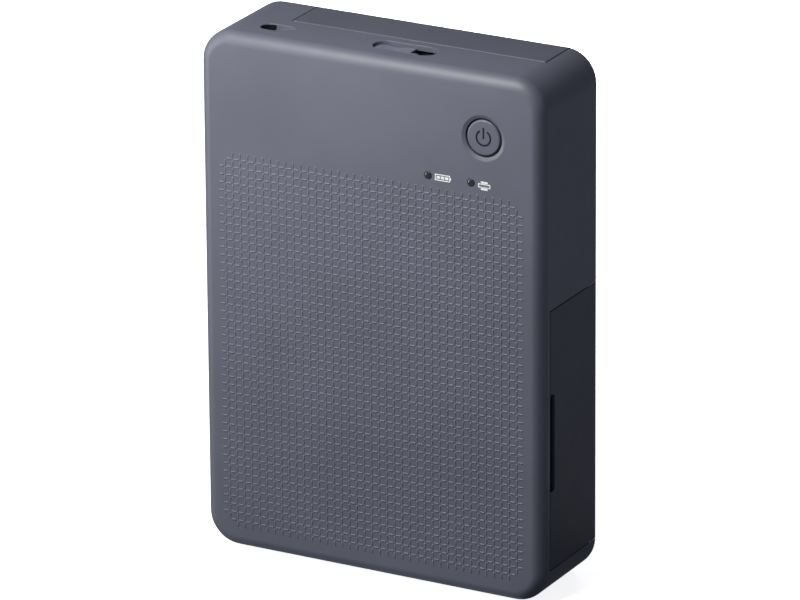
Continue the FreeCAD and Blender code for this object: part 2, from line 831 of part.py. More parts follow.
# Release lever, drawn at the left end of its travel
def make_release_lever():
    width = lever_recess_width - 4 * fit_gap
    x0 = lever_x - lever_recess_length / 2 + 2 * fit_gap
    floor = case_height - lever_recess_depth + running_gap
    top = floor + lever_height
    knob = obround_z(lever_length, width, floor, top, x0 + lever_length / 2, lever_y)
    dip = rod_y(lever_scoop_radius, lever_y - width, lever_y + width, x0 + lever_length * lever_scoop_share,
                top + lever_scoop_radius - lever_scoop_depth)
    notch = block(x0 + lever_length - lever_notch_length, x0 + lever_length + overrun,
                  lever_y - lever_notch_forward, lever_y + width, floor - overrun, top + overrun)
    knob = knob.cut([dip, notch])
    neck_x = lever_x - lever_slot_length / 2 + lever_neck_length / 2 + fit_gap
    neck = obround_z(lever_neck_length, lever_neck_width, latch_top - latch_plate,
                     floor + lever_height / 4, neck_x, lever_y)
    save("release_lever", joined([knob, neck]))


def make_latch_slider():
    x0 = lever_spring_start - latch_length
    y0 = lever_y - latch_width / 2
    plate = rounded_block(x0, x0 + latch_length, y0, y0 + latch_width, latch_top - latch_plate, latch_top,
                          plate_corner / 2, "z")
    arms = []
    for x in hook_places():
        start = x + hook_width + side_play
        arms.append(block(start, start + latch_arm_width, y0 + latch_width / 2,
                          cover_front + hook_setback + latch_arm_reach, latch_top - latch_plate, latch_top))
    neck_x = lever_x - lever_slot_length / 2 + lever_neck_length / 2 + fit_gap
    hole = obround_z(lever_neck_length, lever_neck_width, latch_top - latch_plate - overrun,
                     latch_top + overrun, neck_x, lever_y)
    save("latch_slider", joined([plate] + arms).cut(hole).Solids[0])


def make_lever_spring():
    # a folded strip between the slider's end and a post of the case
    x0 = lever_spring_start
    x1 = lever_spring_end
    y0 = lever_y - latch_width / 4
    y1 = lever_y + latch_width / 4
    t = lever_spring_thickness
    middle = (x0 + x1) / 2
    strip = profile_z([(x0, y0), (x0 + t, y0), (middle, y1 - 2 * t), (x1 - t, y0), (x1, y0), (middle, y1)],
                      latch_top - latch_plate, latch_top)
    save("lever_spring", strip)


def strap_form(margin, low, high):
    return obround_z(strap_length + 2 * margin, strap_width + 2 * margin, low, high, strap_x, strap_y)


def strap_hole(margin, low, high):
    # the deep end of the eye, which the cord goes down into
    return strap_form(margin, low, high).common(
        block(left, strap_x - strap_length / 2 + strap_hole_length + margin, front, back, low, high))


def strap_groove():
    # the shallow end, which rises to the right and lets the cord lie flat
    x0 = strap_x - strap_length / 2
    x1 = strap_x + strap_length / 2
    side = Part.makePolygon([V(x0, front, case_height - strap_groove_depth),
                             V(x0 + strap_hole_length, front, case_height - strap_groove_depth),
                             V(x1, front, case_height - strap_groove_end), V(x1, front, case_height + overrun),
                             V(x0, front, case_height + overrun),
                             V(x0, front, case_height - strap_groove_depth)])
    return Part.Face(side).extrude(V(0, back - front, 0)).common(
        strap_form(0, inner_top, case_height + overrun))


def make_strap_anchor():
    cup = strap_hole(strap_wall, case_height - strap_depth - strap_wall, inner_top)
    shape = cup.cut([strap_hole(0, case_height - strap_depth, inner_top + overrun),
                     rod_y(strap_pin_radius, strap_y - strap_width, strap_y + strap_width, strap_pin_x(),
                           case_height - side_wall - strap_pin_depth)])
    save("strap_anchor", shape.Solids[0])


def strap_pin_x():
    return strap_x - strap_length / 2 + strap_hole_length / 2


def make_strap_pin():
    half = strap_width / 2 + strap_wall - fit_gap
    pin = rod_y(strap_pin_radius, strap_y - half, strap_y + half, strap_pin_x(),
                case_height - side_wall - strap_pin_depth)
    save("strap_pin", pin)


# Paper tray
def tyre_places():
    return [cover_offset + side * pickup_tyre_spacing / 2 for side in (-1, 1)]


def make_paper_tray():
    # the floor starts above the film cassette, whose upper tube leads the paper below it
    floor = block(tray_left - tray_wall, tray_right + tray_wall, tray_back, tray_face, takeup_axis[1], tray_top)
    walls = [block(tray_left - tray_wall, tray_left, tray_back, tray_rear, tray_bottom - tray_foot, tray_top),
             block(tray_right, tray_right + tray_wall, tray_back, tray_rear, tray_bottom - tray_foot, tray_top),
             block(tray_left - tray_wall, tray_right + tray_wall, tray_face + tray_mouth,
                   cover_axis[0] - rear_edge_radius - seam_gap, tray_bottom - tray_foot, tray_bottom)]
    for share in tray_ridge_shares:
        x = tray_left + (tray_right - tray_left) * share
        walls.append(block(x - tray_ridge_width / 2, x + tray_ridge_width / 2, tray_face - tray_floor / 2,
                           tray_face + tray_ridge, takeup_axis[1] + tube_radius, tray_top - tray_wall))
    tray = joined([floor] + walls)
    span = (tray_left - 2 * tray_wall, tray_right + 2 * tray_wall)
    cuts = [rod_x(rear_edge_radius + seam_gap, span[0], span[1], cover_axis),
            rod_x(tube_radius + cassette_play, span[0], span[1], takeup_axis)]
    drop = tray_face - pickup_axis[0]
    window = math.sqrt(pickup_radius ** 2 - (drop - tray_floor) ** 2) + tray_window_play
    for x in tyre_places():
        half = pickup_tyre_width / 2 + tray_window_play
        cuts.append(rounded_block(x - half, x + half, tray_back - overrun, tray_face + overrun,
                                  pickup_axis[1] - window, pickup_axis[1] + window, plate_corner, "y"))
    grip = rounded_block(cover_offset - paper_width / 6, cover_offset + paper_width / 6,
                         tray_back - overrun, tray_face + overrun,
                         tray_top - paper_length / 8, tray_top + overrun, plate_corner, "y")
    cuts.append(grip)
    save("paper_tray", tray.cut(cuts).Solids[0])


# Chassis
def bush_axes():
    return [pickup_axis, platen_axis, capstan_axis]


def side_plate(x, top):
    return rounded_block(x, x + plate_thickness, plate_front, plate_rear, plates_bottom, top, plate_corner, "x")


def hinge_relief(x):
    return rod_x(rear_edge_radius + seam_gap, x - overrun, x + plate_thickness + overrun, cover_axis)


def ear(x, direction, z):
    # a foot turned in from the side plate's front edge, with a screw hole
    x0 = min(x, x + direction * ear_length)
    foot = block(x0, x0 + ear_length, plate_front, plate_front + plate_thickness, z, z + ear_height)
    hole = rod_y(board_screw_radius + running_gap,
                 plate_front - overrun, plate_front + plate_thickness + overrun,
                 x0 + ear_length / 2, z + ear_height / 2)
    return foot.cut(hole)


def ear_places():
    left_face = left_plate_x + plate_thickness
    low = takeup_axis[1] + tube_radius + 2 * cassette_play
    high = low + 2 * ear_height
    return [(left_face, 1, low), (left_face, 1, high), (right_plate_x, -1, low)]


def cassette_passage(x, play):
    # the outline that the cassette slides through, tubes and front rail together
    shapes = [rod_x(tube_radius + play, x - overrun, x + plate_thickness + overrun, axis)
              for axis in (takeup_axis, supply_axis)]
    shapes.append(block(x - overrun, x + plate_thickness + overrun,
                        rail_y - play, rail_y + cassette_rail + play, supply_axis[1], takeup_axis[1]))
    return joined(shapes)


def make_left_side_plate():
    plate = side_plate(left_plate_x, left_plate_top)
    feet = [ear(x, direction, z) for x, direction, z in ear_places() if direction > 0]
    plate = joined([plate] + feet)
    cuts = [hinge_relief(left_plate_x)]
    span = (left_plate_x - overrun, left_plate_x + plate_thickness + overrun)
    for axis in bush_axes():
        cuts.append(rod_x(bush_radius, span[0], span[1], axis))
    cuts.append(rod_x(spool_radius + side_play, span[0], span[1], takeup_axis))
    cuts.append(rod_x(spool_radius + side_play, span[0], span[1], supply_axis))
    cuts.append(rod_x(pinch_journal_radius + running_gap, span[0], span[1], pinch_axis))
    cuts.append(rod_x(head_pin_radius + running_gap, span[0], span[1], head_pivot))
    cuts.append(rod_x(pinion_hub_radius + side_play, span[0], span[1], motor_axis))
    for centre in (reduction_axis, idler_axis):
        cuts.append(rod_x(pin_radius, span[0], span[1], centre))
    for centre in motor_screw_places():
        cuts.append(rod_x(board_screw_radius + running_gap, span[0], span[1], centre))
    save("left_side_plate", plate.cut(cuts).Solids[0])


def make_right_side_plate():
    plate = side_plate(right_plate_x, right_plate_top)
    feet = [ear(x, direction, z) for x, direction, z in ear_places() if direction < 0]
    plate = joined([plate] + feet)
    span = (right_plate_x - overrun, right_plate_x + plate_thickness + overrun)
    cuts = [hinge_relief(right_plate_x), cassette_passage(right_plate_x, cassette_play)]
    for axis in bush_axes():
        cuts.append(rod_x(bush_radius, span[0], span[1], axis))
    cuts.append(rod_x(pinch_journal_radius + running_gap, span[0], span[1], pinch_axis))
    cuts.append(rod_x(head_pin_radius + running_gap, span[0], span[1], head_pivot))
    save("right_side_plate", plate.cut(cuts).Solids[0])


def post_places():
    side = plate_rear - 2 * post_radius
    return [(side, bracket_bottom + 2 * post_radius), (side, takeup_axis[1] + tube_radius),
            (side, bracket_top - 2 * post_radius)]


def make_gear_bracket():
    plate = rounded_block(bracket_x, bracket_x + bracket_thickness, plate_front + bracket_margin,
                          plate_rear - bracket_margin / 2, bracket_bottom, bracket_top, plate_corner, "x")
    span = (bracket_x - overrun, bracket_x + bracket_thickness + overrun)
    cuts = []
    for centre in (reduction_axis, idler_axis):
        cuts.append(rod_x(pin_radius, span[0], span[1], centre))
    for axis in (pickup_axis, platen_axis, capstan_axis, takeup_axis):
        cuts.append(rod_x(pickup_shaft_radius + side_play * 2, span[0], span[1], axis))
    cuts.append(rod_x(motor_shaft_radius + side_play * 2, span[0], span[1], motor_axis))
    save("gear_bracket", plate.cut(cuts).Solids[0])


def make_bracket_posts():
    posts = [rod_x(post_radius, bracket_x + bracket_thickness, left_plate_x, centre)
             for centre in post_places()]
    save("bracket_posts", *posts)


def make_tie_rods():
    rods = [rod_x(tie_radius, left_plate_x + plate_thickness, right_plate_x, centre) for centre in tie_axes]
    save("tie_rods", *rods)


def chassis_screws():
    screws = []
    for x, direction, z in ear_places():
        x_mid = x + direction * ear_length / 2
        z_mid = z + ear_height / 2
        face = plate_front + plate_thickness
        head = rod_y(board_screw_head_radius, face, face + board_screw_head, x_mid, z_mid)
        shank = rod_y(board_screw_radius, inner_front, face, x_mid, z_mid)
        screws.append(joined([head, shank]))
    return screws


def make_gear_pins():
    pins = [rod_x(pin_radius, bracket_x, left_plate_x + plate_thickness, centre)
            for centre in (reduction_axis, idler_axis)]
    save("gear_pins", *pins)


def shaft_radius_of(axis):
    radii = {pickup_axis: pickup_shaft_radius, platen_axis: platen_shaft_radius,
             capstan_axis: capstan_journal_radius}
    return radii[axis]


def make_shaft_bushes():
    # flanged sleeves that the three driven shafts turn in, one in each side plate
    bushes = []
    for axis in bush_axes():
        bore = shaft_radius_of(axis) + running_gap
        for x, face in ((left_plate_x, left_plate_x - bush_flange),
                        (right_plate_x, right_plate_x + plate_thickness)):
            sleeve = rod_x(bush_radius, x, x + plate_thickness, axis)
            flange = rod_x(bush_flange_radius, face, face + bush_flange, axis)
            hole = rod_x(bore, x - overrun, x + plate_thickness + overrun, axis)
            bushes.append(joined([sleeve, flange]).cut(hole))
    save("shaft_bushes", *bushes)


# Gears
def involute(angle):
    return math.tan(angle) - angle


def flank_angle(teeth, radius):
    # half the angle that a tooth fills at the given radius
    pitch = pitch_radius(teeth)
    base = pitch * math.cos(pressure_angle)
    at = math.acos(min(1.0, base / max(radius, base)))
    half = math.pi / (2 * teeth) - tooth_thinning / (2 * pitch)
    return half + involute(pressure_angle) - involute(at)


def gear_disc(teeth, x0, width, centre, phase):
    # involute teeth about a shaft along X, with one tooth centred on the phase angle
    pitch = pitch_radius(teeth)
    tip = pitch + addendum_share * gear_module
    root = pitch - dedendum_share * gear_module
    base = max(pitch * math.cos(pressure_angle), root)
    outline = []
    for tooth in range(teeth):
        middle = phase + 2 * math.pi * tooth / teeth
        radii = [root, base, pitch, tip]
        rising = [(radius, middle - flank_angle(teeth, radius)) for radius in radii]
        falling = [(radius, middle + flank_angle(teeth, radius)) for radius in reversed(radii)]
        outline += rising + falling
    points = []
    for radius, angle in outline:
        point = (centre[0] + radius * math.cos(angle), centre[1] + radius * math.sin(angle))
        if not points or math.dist(point, points[-1]) > running_gap / 10:
            points.append(point)
    return profile_x(points, x0, x0 + width)


def mesh_phase(first, first_teeth, first_phase, second, second_teeth):
    # the phase that puts a gap of the second gear where the first has its tooth
    line = math.atan2(second[1] - first[1], second[0] - first[0])
    step = 2 * math.pi / first_teeth
    turns = (line - first_phase) / step
    offset = (round(turns) - turns) * step
    gap = line + math.pi - offset * first_teeth / second_teeth
    return gap + math.pi / second_teeth


pinion_phase = 0
reduction_phase = mesh_phase(motor_axis, pinion_teeth, pinion_phase, reduction_axis, reduction_teeth)
pickup_phase = mesh_phase(reduction_axis, reduction_small_teeth, 0, pickup_axis, pickup_teeth)
takeup_phase = mesh_phase(pickup_axis, pickup_teeth, pickup_phase, takeup_axis, takeup_teeth)
idler_phase = mesh_phase(takeup_axis, takeup_teeth, takeup_phase, idler_axis, idler_teeth)
platen_phase = mesh_phase(idler_axis, idler_teeth, idler_phase, platen_axis, platen_teeth)
capstan_phase = mesh_phase(idler_axis, idler_teeth, idler_phase, capstan_axis, capstan_teeth)


def lightened(gear, x0, width, centre, pitch, hub):
    # a web thinner than the rim, between the hub and the teeth
    rim = pitch - 2 * dedendum_share * gear_module
    if rim - hub < gear_module:
        return gear
    groove = ring_x(rim, hub, x0 - overrun, x0 + width / 3, centre)
    cuts = [groove]
    if rim - hub > 3 * gear_module:
        middle = (rim + hub) / 2
        for hole in range(web_holes):
            angle = 2 * math.pi * hole / web_holes
            place = (centre[0] + middle * math.cos(angle), centre[1] + middle * math.sin(angle))
            cuts.append(rod_x((rim - hub) * web_hole_share, x0 - overrun, x0 + width + overrun, place))
    return gear.cut(cuts)


def make_motor_pinion():
    teeth = gear_disc(pinion_teeth, far_gears_x, gear_width, motor_axis, pinion_phase)
    hub = rod_x(pinion_hub_radius, far_gears_x + gear_width, left_plate_x + plate_thickness - fit_gap,
                motor_axis)
    shaft = rod_x(motor_shaft_radius, far_gears_x - gear_space, left_plate_x + plate_thickness, motor_axis)
    save("motor_pinion", joined([teeth, hub]).cut(shaft).Solids[0])


def make_motor_shaft():
    save("motor_shaft", rod_x(motor_shaft_radius, far_gears_x, left_plate_x + plate_thickness - fit_gap,
                              motor_axis))


def make_reduction_gear():
    big = gear_disc(reduction_teeth, far_gears_x, gear_width, reduction_axis, reduction_phase)
    small = gear_disc(reduction_small_teeth, near_gears_x - gear_space / 2, gear_width + gear_space / 2,
                      reduction_axis, 0)
    collar = rod_x(pitch_radius(reduction_small_teeth) - dedendum_share * gear_module,
                   far_gears_x + gear_width, near_gears_x, reduction_axis)
    bore = rod_x(pin_radius + running_gap, far_gears_x - overrun, left_plate_x, reduction_axis)
    big = lightened(big, far_gears_x, gear_width, reduction_axis, pitch_radius(reduction_teeth), 3 * pin_radius)
    save("reduction_gear", joined([big, small, collar]).cut(bore).Solids[0])


def make_idler_gear():
    teeth = gear_disc(idler_teeth, near_gears_x, gear_width, idler_axis, idler_phase)
    teeth = lightened(teeth, near_gears_x, gear_width, idler_axis, pitch_radius(idler_teeth), 3 * pin_radius)
    hub = rod_x(3 * pin_radius, far_gears_x, near_gears_x + gear_width, idler_axis)
    bore = rod_x(pin_radius + running_gap, far_gears_x - overrun, left_plate_x, idler_axis)
    save("idler_gear", joined([teeth, hub]).cut(bore).Solids[0])


def make_shaft_gear(name, teeth, axis, phase, shaft_radius):
    disc = gear_disc(teeth, near_gears_x, gear_width, axis, phase)
    hub = 2 * shaft_radius
    disc = lightened(disc, near_gears_x, gear_width, axis, pitch_radius(teeth), hub)
    bore = rod_x(shaft_radius, near_gears_x - overrun, left_plate_x, axis)
    save(name, disc.cut(bore).Solids[0])


# Motor
def motor_screw_places():
    reach = motor_radius - 2 * board_screw_radius + fit_gap
    return [(motor_axis[0], motor_axis[1] + side * reach) for side in (-1, 1)]


def make_motor():
    x0 = left_plate_x + plate_thickness
    can = rod_x(motor_radius, x0, x0 + motor_length, motor_axis)
    flats = block(x0 - overrun, x0 + motor_length + overrun,
                  motor_axis[0] - motor_flat, motor_axis[0] + motor_flat,
                  motor_axis[1] - 2 * motor_radius, motor_axis[1] + 2 * motor_radius)
    cap = rod_x(motor_radius / 3, x0 + motor_length, x0 + motor_length + side_wall, motor_axis)
    holes = [rod_x(board_screw_radius, x0 - overrun, x0 + motor_length / 6, centre)
             for centre in motor_screw_places()]
    save("motor", joined([can.common(flats), cap]).cut(holes).Solids[0])


def motor_screws():
    screws = []
    for centre in motor_screw_places():
        head = rod_x(board_screw_head_radius, left_plate_x - board_screw_head, left_plate_x, centre)
        shank = rod_x(board_screw_radius, left_plate_x, left_plate_x + plate_thickness + motor_length / 6,
                      centre)
        screws.append(joined([head, shank]))
    return screws


# Rollers
def shaft_rod(radius, axis):
    # a shaft from the gears on the left to just past the right side plate
    return rod_x(radius, near_gears_x - gear_space, right_plate_x + plate_thickness + shaft_overhang, axis)


def make_pickup_roller():
    save("pickup_shaft", shaft_rod(pickup_shaft_radius, pickup_axis))
    tyres = []
    for x in tyre_places():
        half = pickup_tyre_width / 2
        tyres.append(ring_x(pickup_radius, pickup_shaft_radius, x - half, x + half, pickup_axis))
    save("pickup_tyres", *tyres)
    make_shaft_gear("pickup_gear", pickup_teeth, pickup_axis, pickup_phase, pickup_shaft_radius)


def make_platen():
    save("platen_shaft", shaft_rod(platen_shaft_radius, platen_axis))
    save("platen_rubber", ring_x(platen_radius, platen_shaft_radius, tray_left, tray_right, platen_axis))
    make_shaft_gear("platen_gear", platen_teeth, platen_axis, platen_phase, platen_shaft_radius)


def make_capstan():
    drum = rod_x(capstan_radius, tray_left, tray_right, capstan_axis)
    save("capstan_shaft", joined([shaft_rod(capstan_journal_radius, capstan_axis), drum]))
    make_shaft_gear("capstan_gear", capstan_teeth, capstan_axis, capstan_phase, capstan_journal_radius)


def make_pinch_roller():
    journal = rod_x(pinch_journal_radius, left_plate_x - fit_gap, right_plate_x + plate_thickness + fit_gap,
                    pinch_axis)
    drum = rod_x(pinch_radius, tray_left, tray_right, pinch_axis)
    save("pinch_roller", joined([journal, drum]))


# Thermal head
def make_thermal_head():
    half = head_width / 2
    low = head_tip[1] - head_bar_below
    bar = block(cover_offset - half, cover_offset + half, head_tip[0] - head_bar_depth,
                head_tip[0] - film_thickness - head_line_rise, low, low + head_bar_height)
    glaze = rod_x(head_line_radius, cover_offset - half, cover_offset + half,
                  (head_tip[0] - head_line_radius - film_thickness, head_tip[1]))
    save("thermal_head", joined([bar, glaze]))


def make_head_heatsink():
    half = head_width / 2
    low = head_tip[1] - head_bar_below
    span = (cover_offset - half, cover_offset + half)
    base = block(span[0], span[1], sink_back - sink_base, sink_back, low, low + sink_height)
    fins = []
    for fin in range(sink_fins):
        z = low + fin * (sink_height - sink_fin_width) / (sink_fins - 1)
        fins.append(block(span[0], span[1], sink_front, sink_back, z, z + sink_fin_width))
    save("head_heatsink", joined([base] + fins))


def head_ear_places():
    half = head_width / 2
    return [cover_offset - half - head_ear, cover_offset + half]


def make_head_bracket():
    # two cheeks on the ends of the heat sink, turning on the pivot pins
    low = head_tip[1] - head_bar_below
    cheeks = []
    for x in head_ear_places():
        cheek = block(x, x + head_ear, sink_front, sink_back, low, low + sink_height)
        eye = rod_x(head_ear_radius, x, x + head_ear, head_pivot)
        bore = rod_x(head_pin_radius, x - overrun, x + head_ear + overrun, head_pivot)
        cheeks.append(joined([cheek, eye]).cut(bore).Solids[0])
    save("head_bracket", *cheeks)


def make_head_pins():
    left_eye, right_eye = head_ear_places()
    pins = [rod_x(head_pin_radius, left_plate_x, left_eye + head_ear, head_pivot),
            rod_x(head_pin_radius, right_eye, right_plate_x + plate_thickness, head_pivot)]
    save("head_pins", *pins)


# Film cassette
def slit(axis, degrees):
    # a slot along the tube, centred on one direction
    cutter = block(cassette_x0 + cassette_cap, cassette_x1 - cassette_cap, 0, 2 * tube_radius,
                   -slit_width / 2, slit_width / 2)
    cutter.rotate(V(0, 0, 0), V(1, 0, 0), degrees)
    cutter.translate(V(0, axis[0], axis[1]))
    return cutter


def make_cassette_shell():
    parts = []
    for axis in (takeup_axis, supply_axis):
        parts.append(rod_x(tube_radius, cassette_x0, cassette_x1, axis))
    for x in (cassette_x0, cassette_x1 - cassette_rail_length * 2):
        parts.append(block(x, x + cassette_rail_length * 2, rail_y, rail_y + cassette_rail,
                           supply_axis[1], takeup_axis[1]))
    grip = rounded_block(cassette_x1, cassette_x1 + grip_depth / 2, rail_y, rail_y + cassette_rail,
                         (supply_axis[1] + takeup_axis[1]) / 2 - tube_radius,
                         (supply_axis[1] + takeup_axis[1]) / 2 + tube_radius, cassette_rail / 3, "x")
    shape = joined(parts + [grip])
    cuts = []
    for axis, angle in ((takeup_axis, takeup_slit_angle), (supply_axis, supply_slit_angle)):
        cuts.append(rod_x(tube_radius - tube_wall, cassette_x0 + cassette_cap, cassette_x1 - cassette_cap,
                          axis))
        cuts.append(rod_x(spool_radius + running_gap, cassette_x0 - overrun, cassette_x1 + overrun, axis))
        cuts.append(slit(axis, angle))
    save("cassette_shell", shape.cut(cuts).Solids[0])


def spool(axis, x0, x1):
    core = rod_x(spool_radius, x0, x1, axis)
    inside = (cassette_x0 + cassette_cap + side_play, cassette_x1 - cassette_cap - side_play)
    flanges = [rod_x(spool_flange_radius, inside[0], inside[0] + spool_flange, axis),
               rod_x(spool_flange_radius, inside[1] - spool_flange, inside[1], axis)]
    return joined([core] + flanges)


def make_spools():
    x1 = cassette_x1 - cassette_cap / 2
    takeup = spool(takeup_axis, left_plate_x - side_play, x1)
    drive = rod_x(spool_shaft_radius, near_gears_x - overrun, cassette_x0 + 2 * grip_depth, takeup_axis)
    save("takeup_spool", takeup.cut(drive))
    supply = spool(supply_axis, left_plate_x - side_play, x1)
    hub = rod_x(spool_shaft_radius, near_gears_x, cassette_x0 + 2 * grip_depth, supply_axis)
    save("supply_spool", supply.cut(hub))
    half = film_width / 2
    middle = (cassette_x0 + cassette_x1) / 2
    for name, axis, radius in (("takeup_film", takeup_axis, takeup_roll_radius),
                               ("supply_film", supply_axis, supply_roll_radius)):
        save(name, ring_x(radius, spool_radius, middle - half, middle + half, axis))


def make_spool_drives():
    # the geared spindle and the braked hub that enter the two spools from the left
    disc = gear_disc(takeup_teeth, near_gears_x, gear_width, takeup_axis, takeup_phase)
    disc = lightened(disc, near_gears_x, gear_width, takeup_axis, pitch_radius(takeup_teeth), 2 * spool_radius)
    spindle = rod_x(spool_shaft_radius, near_gears_x - gear_space, cassette_x0 + 2 * grip_depth - fit_gap,
                    takeup_axis)
    save("takeup_gear", joined([disc, spindle]))
    brake = rod_x(spool_flange_radius, left_plate_x - gear_space - gear_width / 2,
                  left_plate_x - gear_space / 2, supply_axis)
    nose = rod_x(spool_shaft_radius, left_plate_x - gear_space - gear_width / 2,
                 cassette_x0 + 2 * grip_depth - fit_gap, supply_axis)
    save("supply_hub", joined([brake, nose]))


def edge_point(axis, degrees, radius):
    angle = math.radians(degrees)
    return (axis[0] + radius * math.cos(angle), axis[1] + radius * math.sin(angle))


def make_film_web():
    # the film's flat run from the supply tube over the head to the take-up tube
    leave = edge_point(supply_axis, supply_slit_angle, tube_radius - tube_wall / 2)
    enter = edge_point(takeup_axis, takeup_slit_angle, tube_radius - tube_wall / 2)
    tip = head_tip[0] - film_thickness
    low = head_tip[1] - head_line_radius / 3
    high = head_tip[1] + head_line_radius / 3
    line = [leave, (tip, low), (tip, high), enter]
    shifted = [(y + film_thickness, z) for y, z in line]
    half = film_width / 2
    middle = (cassette_x0 + cassette_x1) / 2
    save("film_web", profile_x(line + shifted[::-1], middle - half, middle + half))


def make_exit_guide():
    # a wall behind the paper, standing on ribs, that leads it to the slot
    face = paper_y + slot_opening / 2 + fit_gap
    top = platen_axis[1] - platen_radius - 2 * cassette_play
    wall = block(tray_left + guide_inset, tray_right - guide_inset, face, face + tray_floor,
                 side_wall + fit_gap, top)
    ribs = []
    for place in (-1, 0, 1):
        rib_x = cover_offset + place * cover_rib_spacing
        ribs.append(block(rib_x - cover_rib_width / 2, rib_x + cover_rib_width / 2, face,
                          inner_back - fit_gap, side_wall + fit_gap, supply_axis[1] - 3 * tie_radius))
    save("exit_guide", joined([wall] + ribs))


# Electronics
def make_main_board():
    board = joined([block(board_left, board_right, board_front, board_back, board_step, board_top),
                    block(board_notch, board_right, board_front, board_back, board_bottom, board_top)])
    holes = [rod_y(board_screw_radius + fit_gap, board_front - overrun, board_back + overrun, x, z)
             for x, z in board_screw_places()]
    save("main_board", board.cut(holes).Solids[0])


def board_screws():
    screws = []
    for x, z in board_screw_places():
        head = rod_y(board_screw_head_radius, board_back, board_back + board_screw_head, x, z)
        shank = rod_y(board_screw_radius, inner_front + fit_gap, board_back, x, z)
        screws.append(joined([head, shank]))
    return screws


def make_small_screws():
    # one size of screw holds the board, the motor and the chassis
    save("small_screws", *(board_screws() + motor_screws() + chassis_screws()))


def make_board_chips():
    # memory, radio, processor and two power parts, each as shares of the board: place, size and thickness
    width = board_right - board_notch
    height = board_top - board_step
    chips = []
    for right_share, up_share, width_share, height_share, depth_share in chip_shares:
        x = board_left + width * right_share
        z = board_step + height * up_share
        chips.append(block(x, x + width * width_share, board_back, board_back + board_thickness * depth_share,
                           z, z + height * height_share))
    save("board_chips", *(chips + indicator_chips()))


def make_battery():
    y1 = tray_back - 2 * fit_gap
    pack = rounded_block(battery_left, battery_right, y1 - battery_thickness, y1,
                         battery_bottom, board_top - battery_below_board_top, battery_edge_radius, "z")
    save("battery", pack)


def make_usb_socket():
    y0 = board_back
    z0 = usb_height - usb_width / 2
    z1 = usb_height + usb_width / 2
    x0 = left + side_wall / 4
    shell = rounded_block(x0, x0 + usb_length, y0, y0 + usb_opening, z0, z1, usb_opening / 2 - usb_wall, "x")
    hollow = rounded_block(x0 - overrun, x0 + usb_length - usb_wall * 3,
                           y0 + usb_wall, y0 + usb_opening - usb_wall,
                           z0 + usb_wall, z1 - usb_wall, usb_opening / 2 - 2 * usb_wall, "x")
    middle = y0 + usb_opening / 2
    tongue = block(x0 + usb_wall * 2, x0 + usb_length - usb_wall,
                   middle - usb_tongue / 2, middle + usb_tongue / 2,
                   z0 + usb_width / 6, z1 - usb_width / 6)
    save("usb_socket", joined([shell.cut(hollow), tongue]))


def main():
    os.makedirs("parts", exist_ok=True)
    make_front_case()
    make_rear_case()
    make_case_screws()
    make_rear_cover()
    make_cover_pins()
    make_pressure_plate()
    make_plate_rivets()
    make_pressure_springs()
    make_cassette_door()
    make_door_pins()
    make_power_button()
    make_power_switch()
    make_lens("charge_lens", charge_lens_x)
    make_lens("status_lens", status_lens_x)
    make_release_lever()
    make_latch_slider()
    make_lever_spring()
    make_strap_anchor()
    make_strap_pin()
    make_paper_tray()
    make_left_side_plate()
    make_right_side_plate()
    make_gear_bracket()
    make_bracket_posts()
    make_tie_rods()
    make_gear_pins()
    make_shaft_bushes()
    make_motor_pinion()
    make_motor_shaft()
    make_reduction_gear()
    make_idler_gear()
    make_motor()
    make_pickup_roller()
    make_platen()
    make_capstan()
    make_pinch_roller()
    make_thermal_head()
    make_head_heatsink()
    make_head_bracket()
    make_head_pins()
    make_cassette_shell()
    make_spools()
    make_spool_drives()
    make_film_web()
    make_exit_guide()
    make_main_board()
    make_small_screws()
    make_board_chips()
    make_battery()
    make_usb_socket()


main()
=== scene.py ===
import bpy
import json
import math
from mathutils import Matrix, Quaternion, Vector


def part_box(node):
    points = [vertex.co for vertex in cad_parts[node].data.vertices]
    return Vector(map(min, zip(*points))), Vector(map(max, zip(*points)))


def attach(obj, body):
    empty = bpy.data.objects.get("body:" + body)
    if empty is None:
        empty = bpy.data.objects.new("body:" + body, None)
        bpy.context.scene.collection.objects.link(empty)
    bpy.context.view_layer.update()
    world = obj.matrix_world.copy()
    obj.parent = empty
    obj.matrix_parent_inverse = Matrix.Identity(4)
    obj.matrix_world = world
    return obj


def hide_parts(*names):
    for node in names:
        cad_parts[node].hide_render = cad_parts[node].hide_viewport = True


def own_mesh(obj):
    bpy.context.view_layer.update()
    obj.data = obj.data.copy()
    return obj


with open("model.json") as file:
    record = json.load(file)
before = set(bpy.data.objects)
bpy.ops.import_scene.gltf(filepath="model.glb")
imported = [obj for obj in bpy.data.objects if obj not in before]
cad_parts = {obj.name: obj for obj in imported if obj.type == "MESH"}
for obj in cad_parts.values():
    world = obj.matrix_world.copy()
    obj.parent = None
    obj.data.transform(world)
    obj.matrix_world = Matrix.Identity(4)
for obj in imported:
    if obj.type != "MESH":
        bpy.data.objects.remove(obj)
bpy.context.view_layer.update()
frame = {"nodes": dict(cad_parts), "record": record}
nodes = frame["nodes"]
mm = 0.001
fineness = {
    "weld": 0.002 * mm,  # points closer than this are one
    "flat": math.radians(0.4),  # faces that meet at less are one
    "smooth": math.radians(30),  # edges below this are shaded round
    "corner": math.radians(60),  # edges beyond this get a radius
}
print("printer: frame loaded with", len(nodes), "nodes")


# selecting and shaping by hand
def deselectAll():
    if bpy.context.mode != "OBJECT":
        bpy.ops.object.mode_set(mode="OBJECT")
    bpy.ops.object.select_all(action="DESELECT")


def pickObject(obj):
    deselectAll()
    obj.select_set(True)
    bpy.context.view_layer.objects.active = obj


def editMesh(obj):
    pickObject(obj)
    bpy.ops.object.mode_set(mode="EDIT")
    bpy.ops.mesh.select_mode(type="FACE")
    bpy.ops.mesh.select_all(action="DESELECT")


def leaveEdit():
    bpy.ops.object.mode_set(mode="OBJECT")


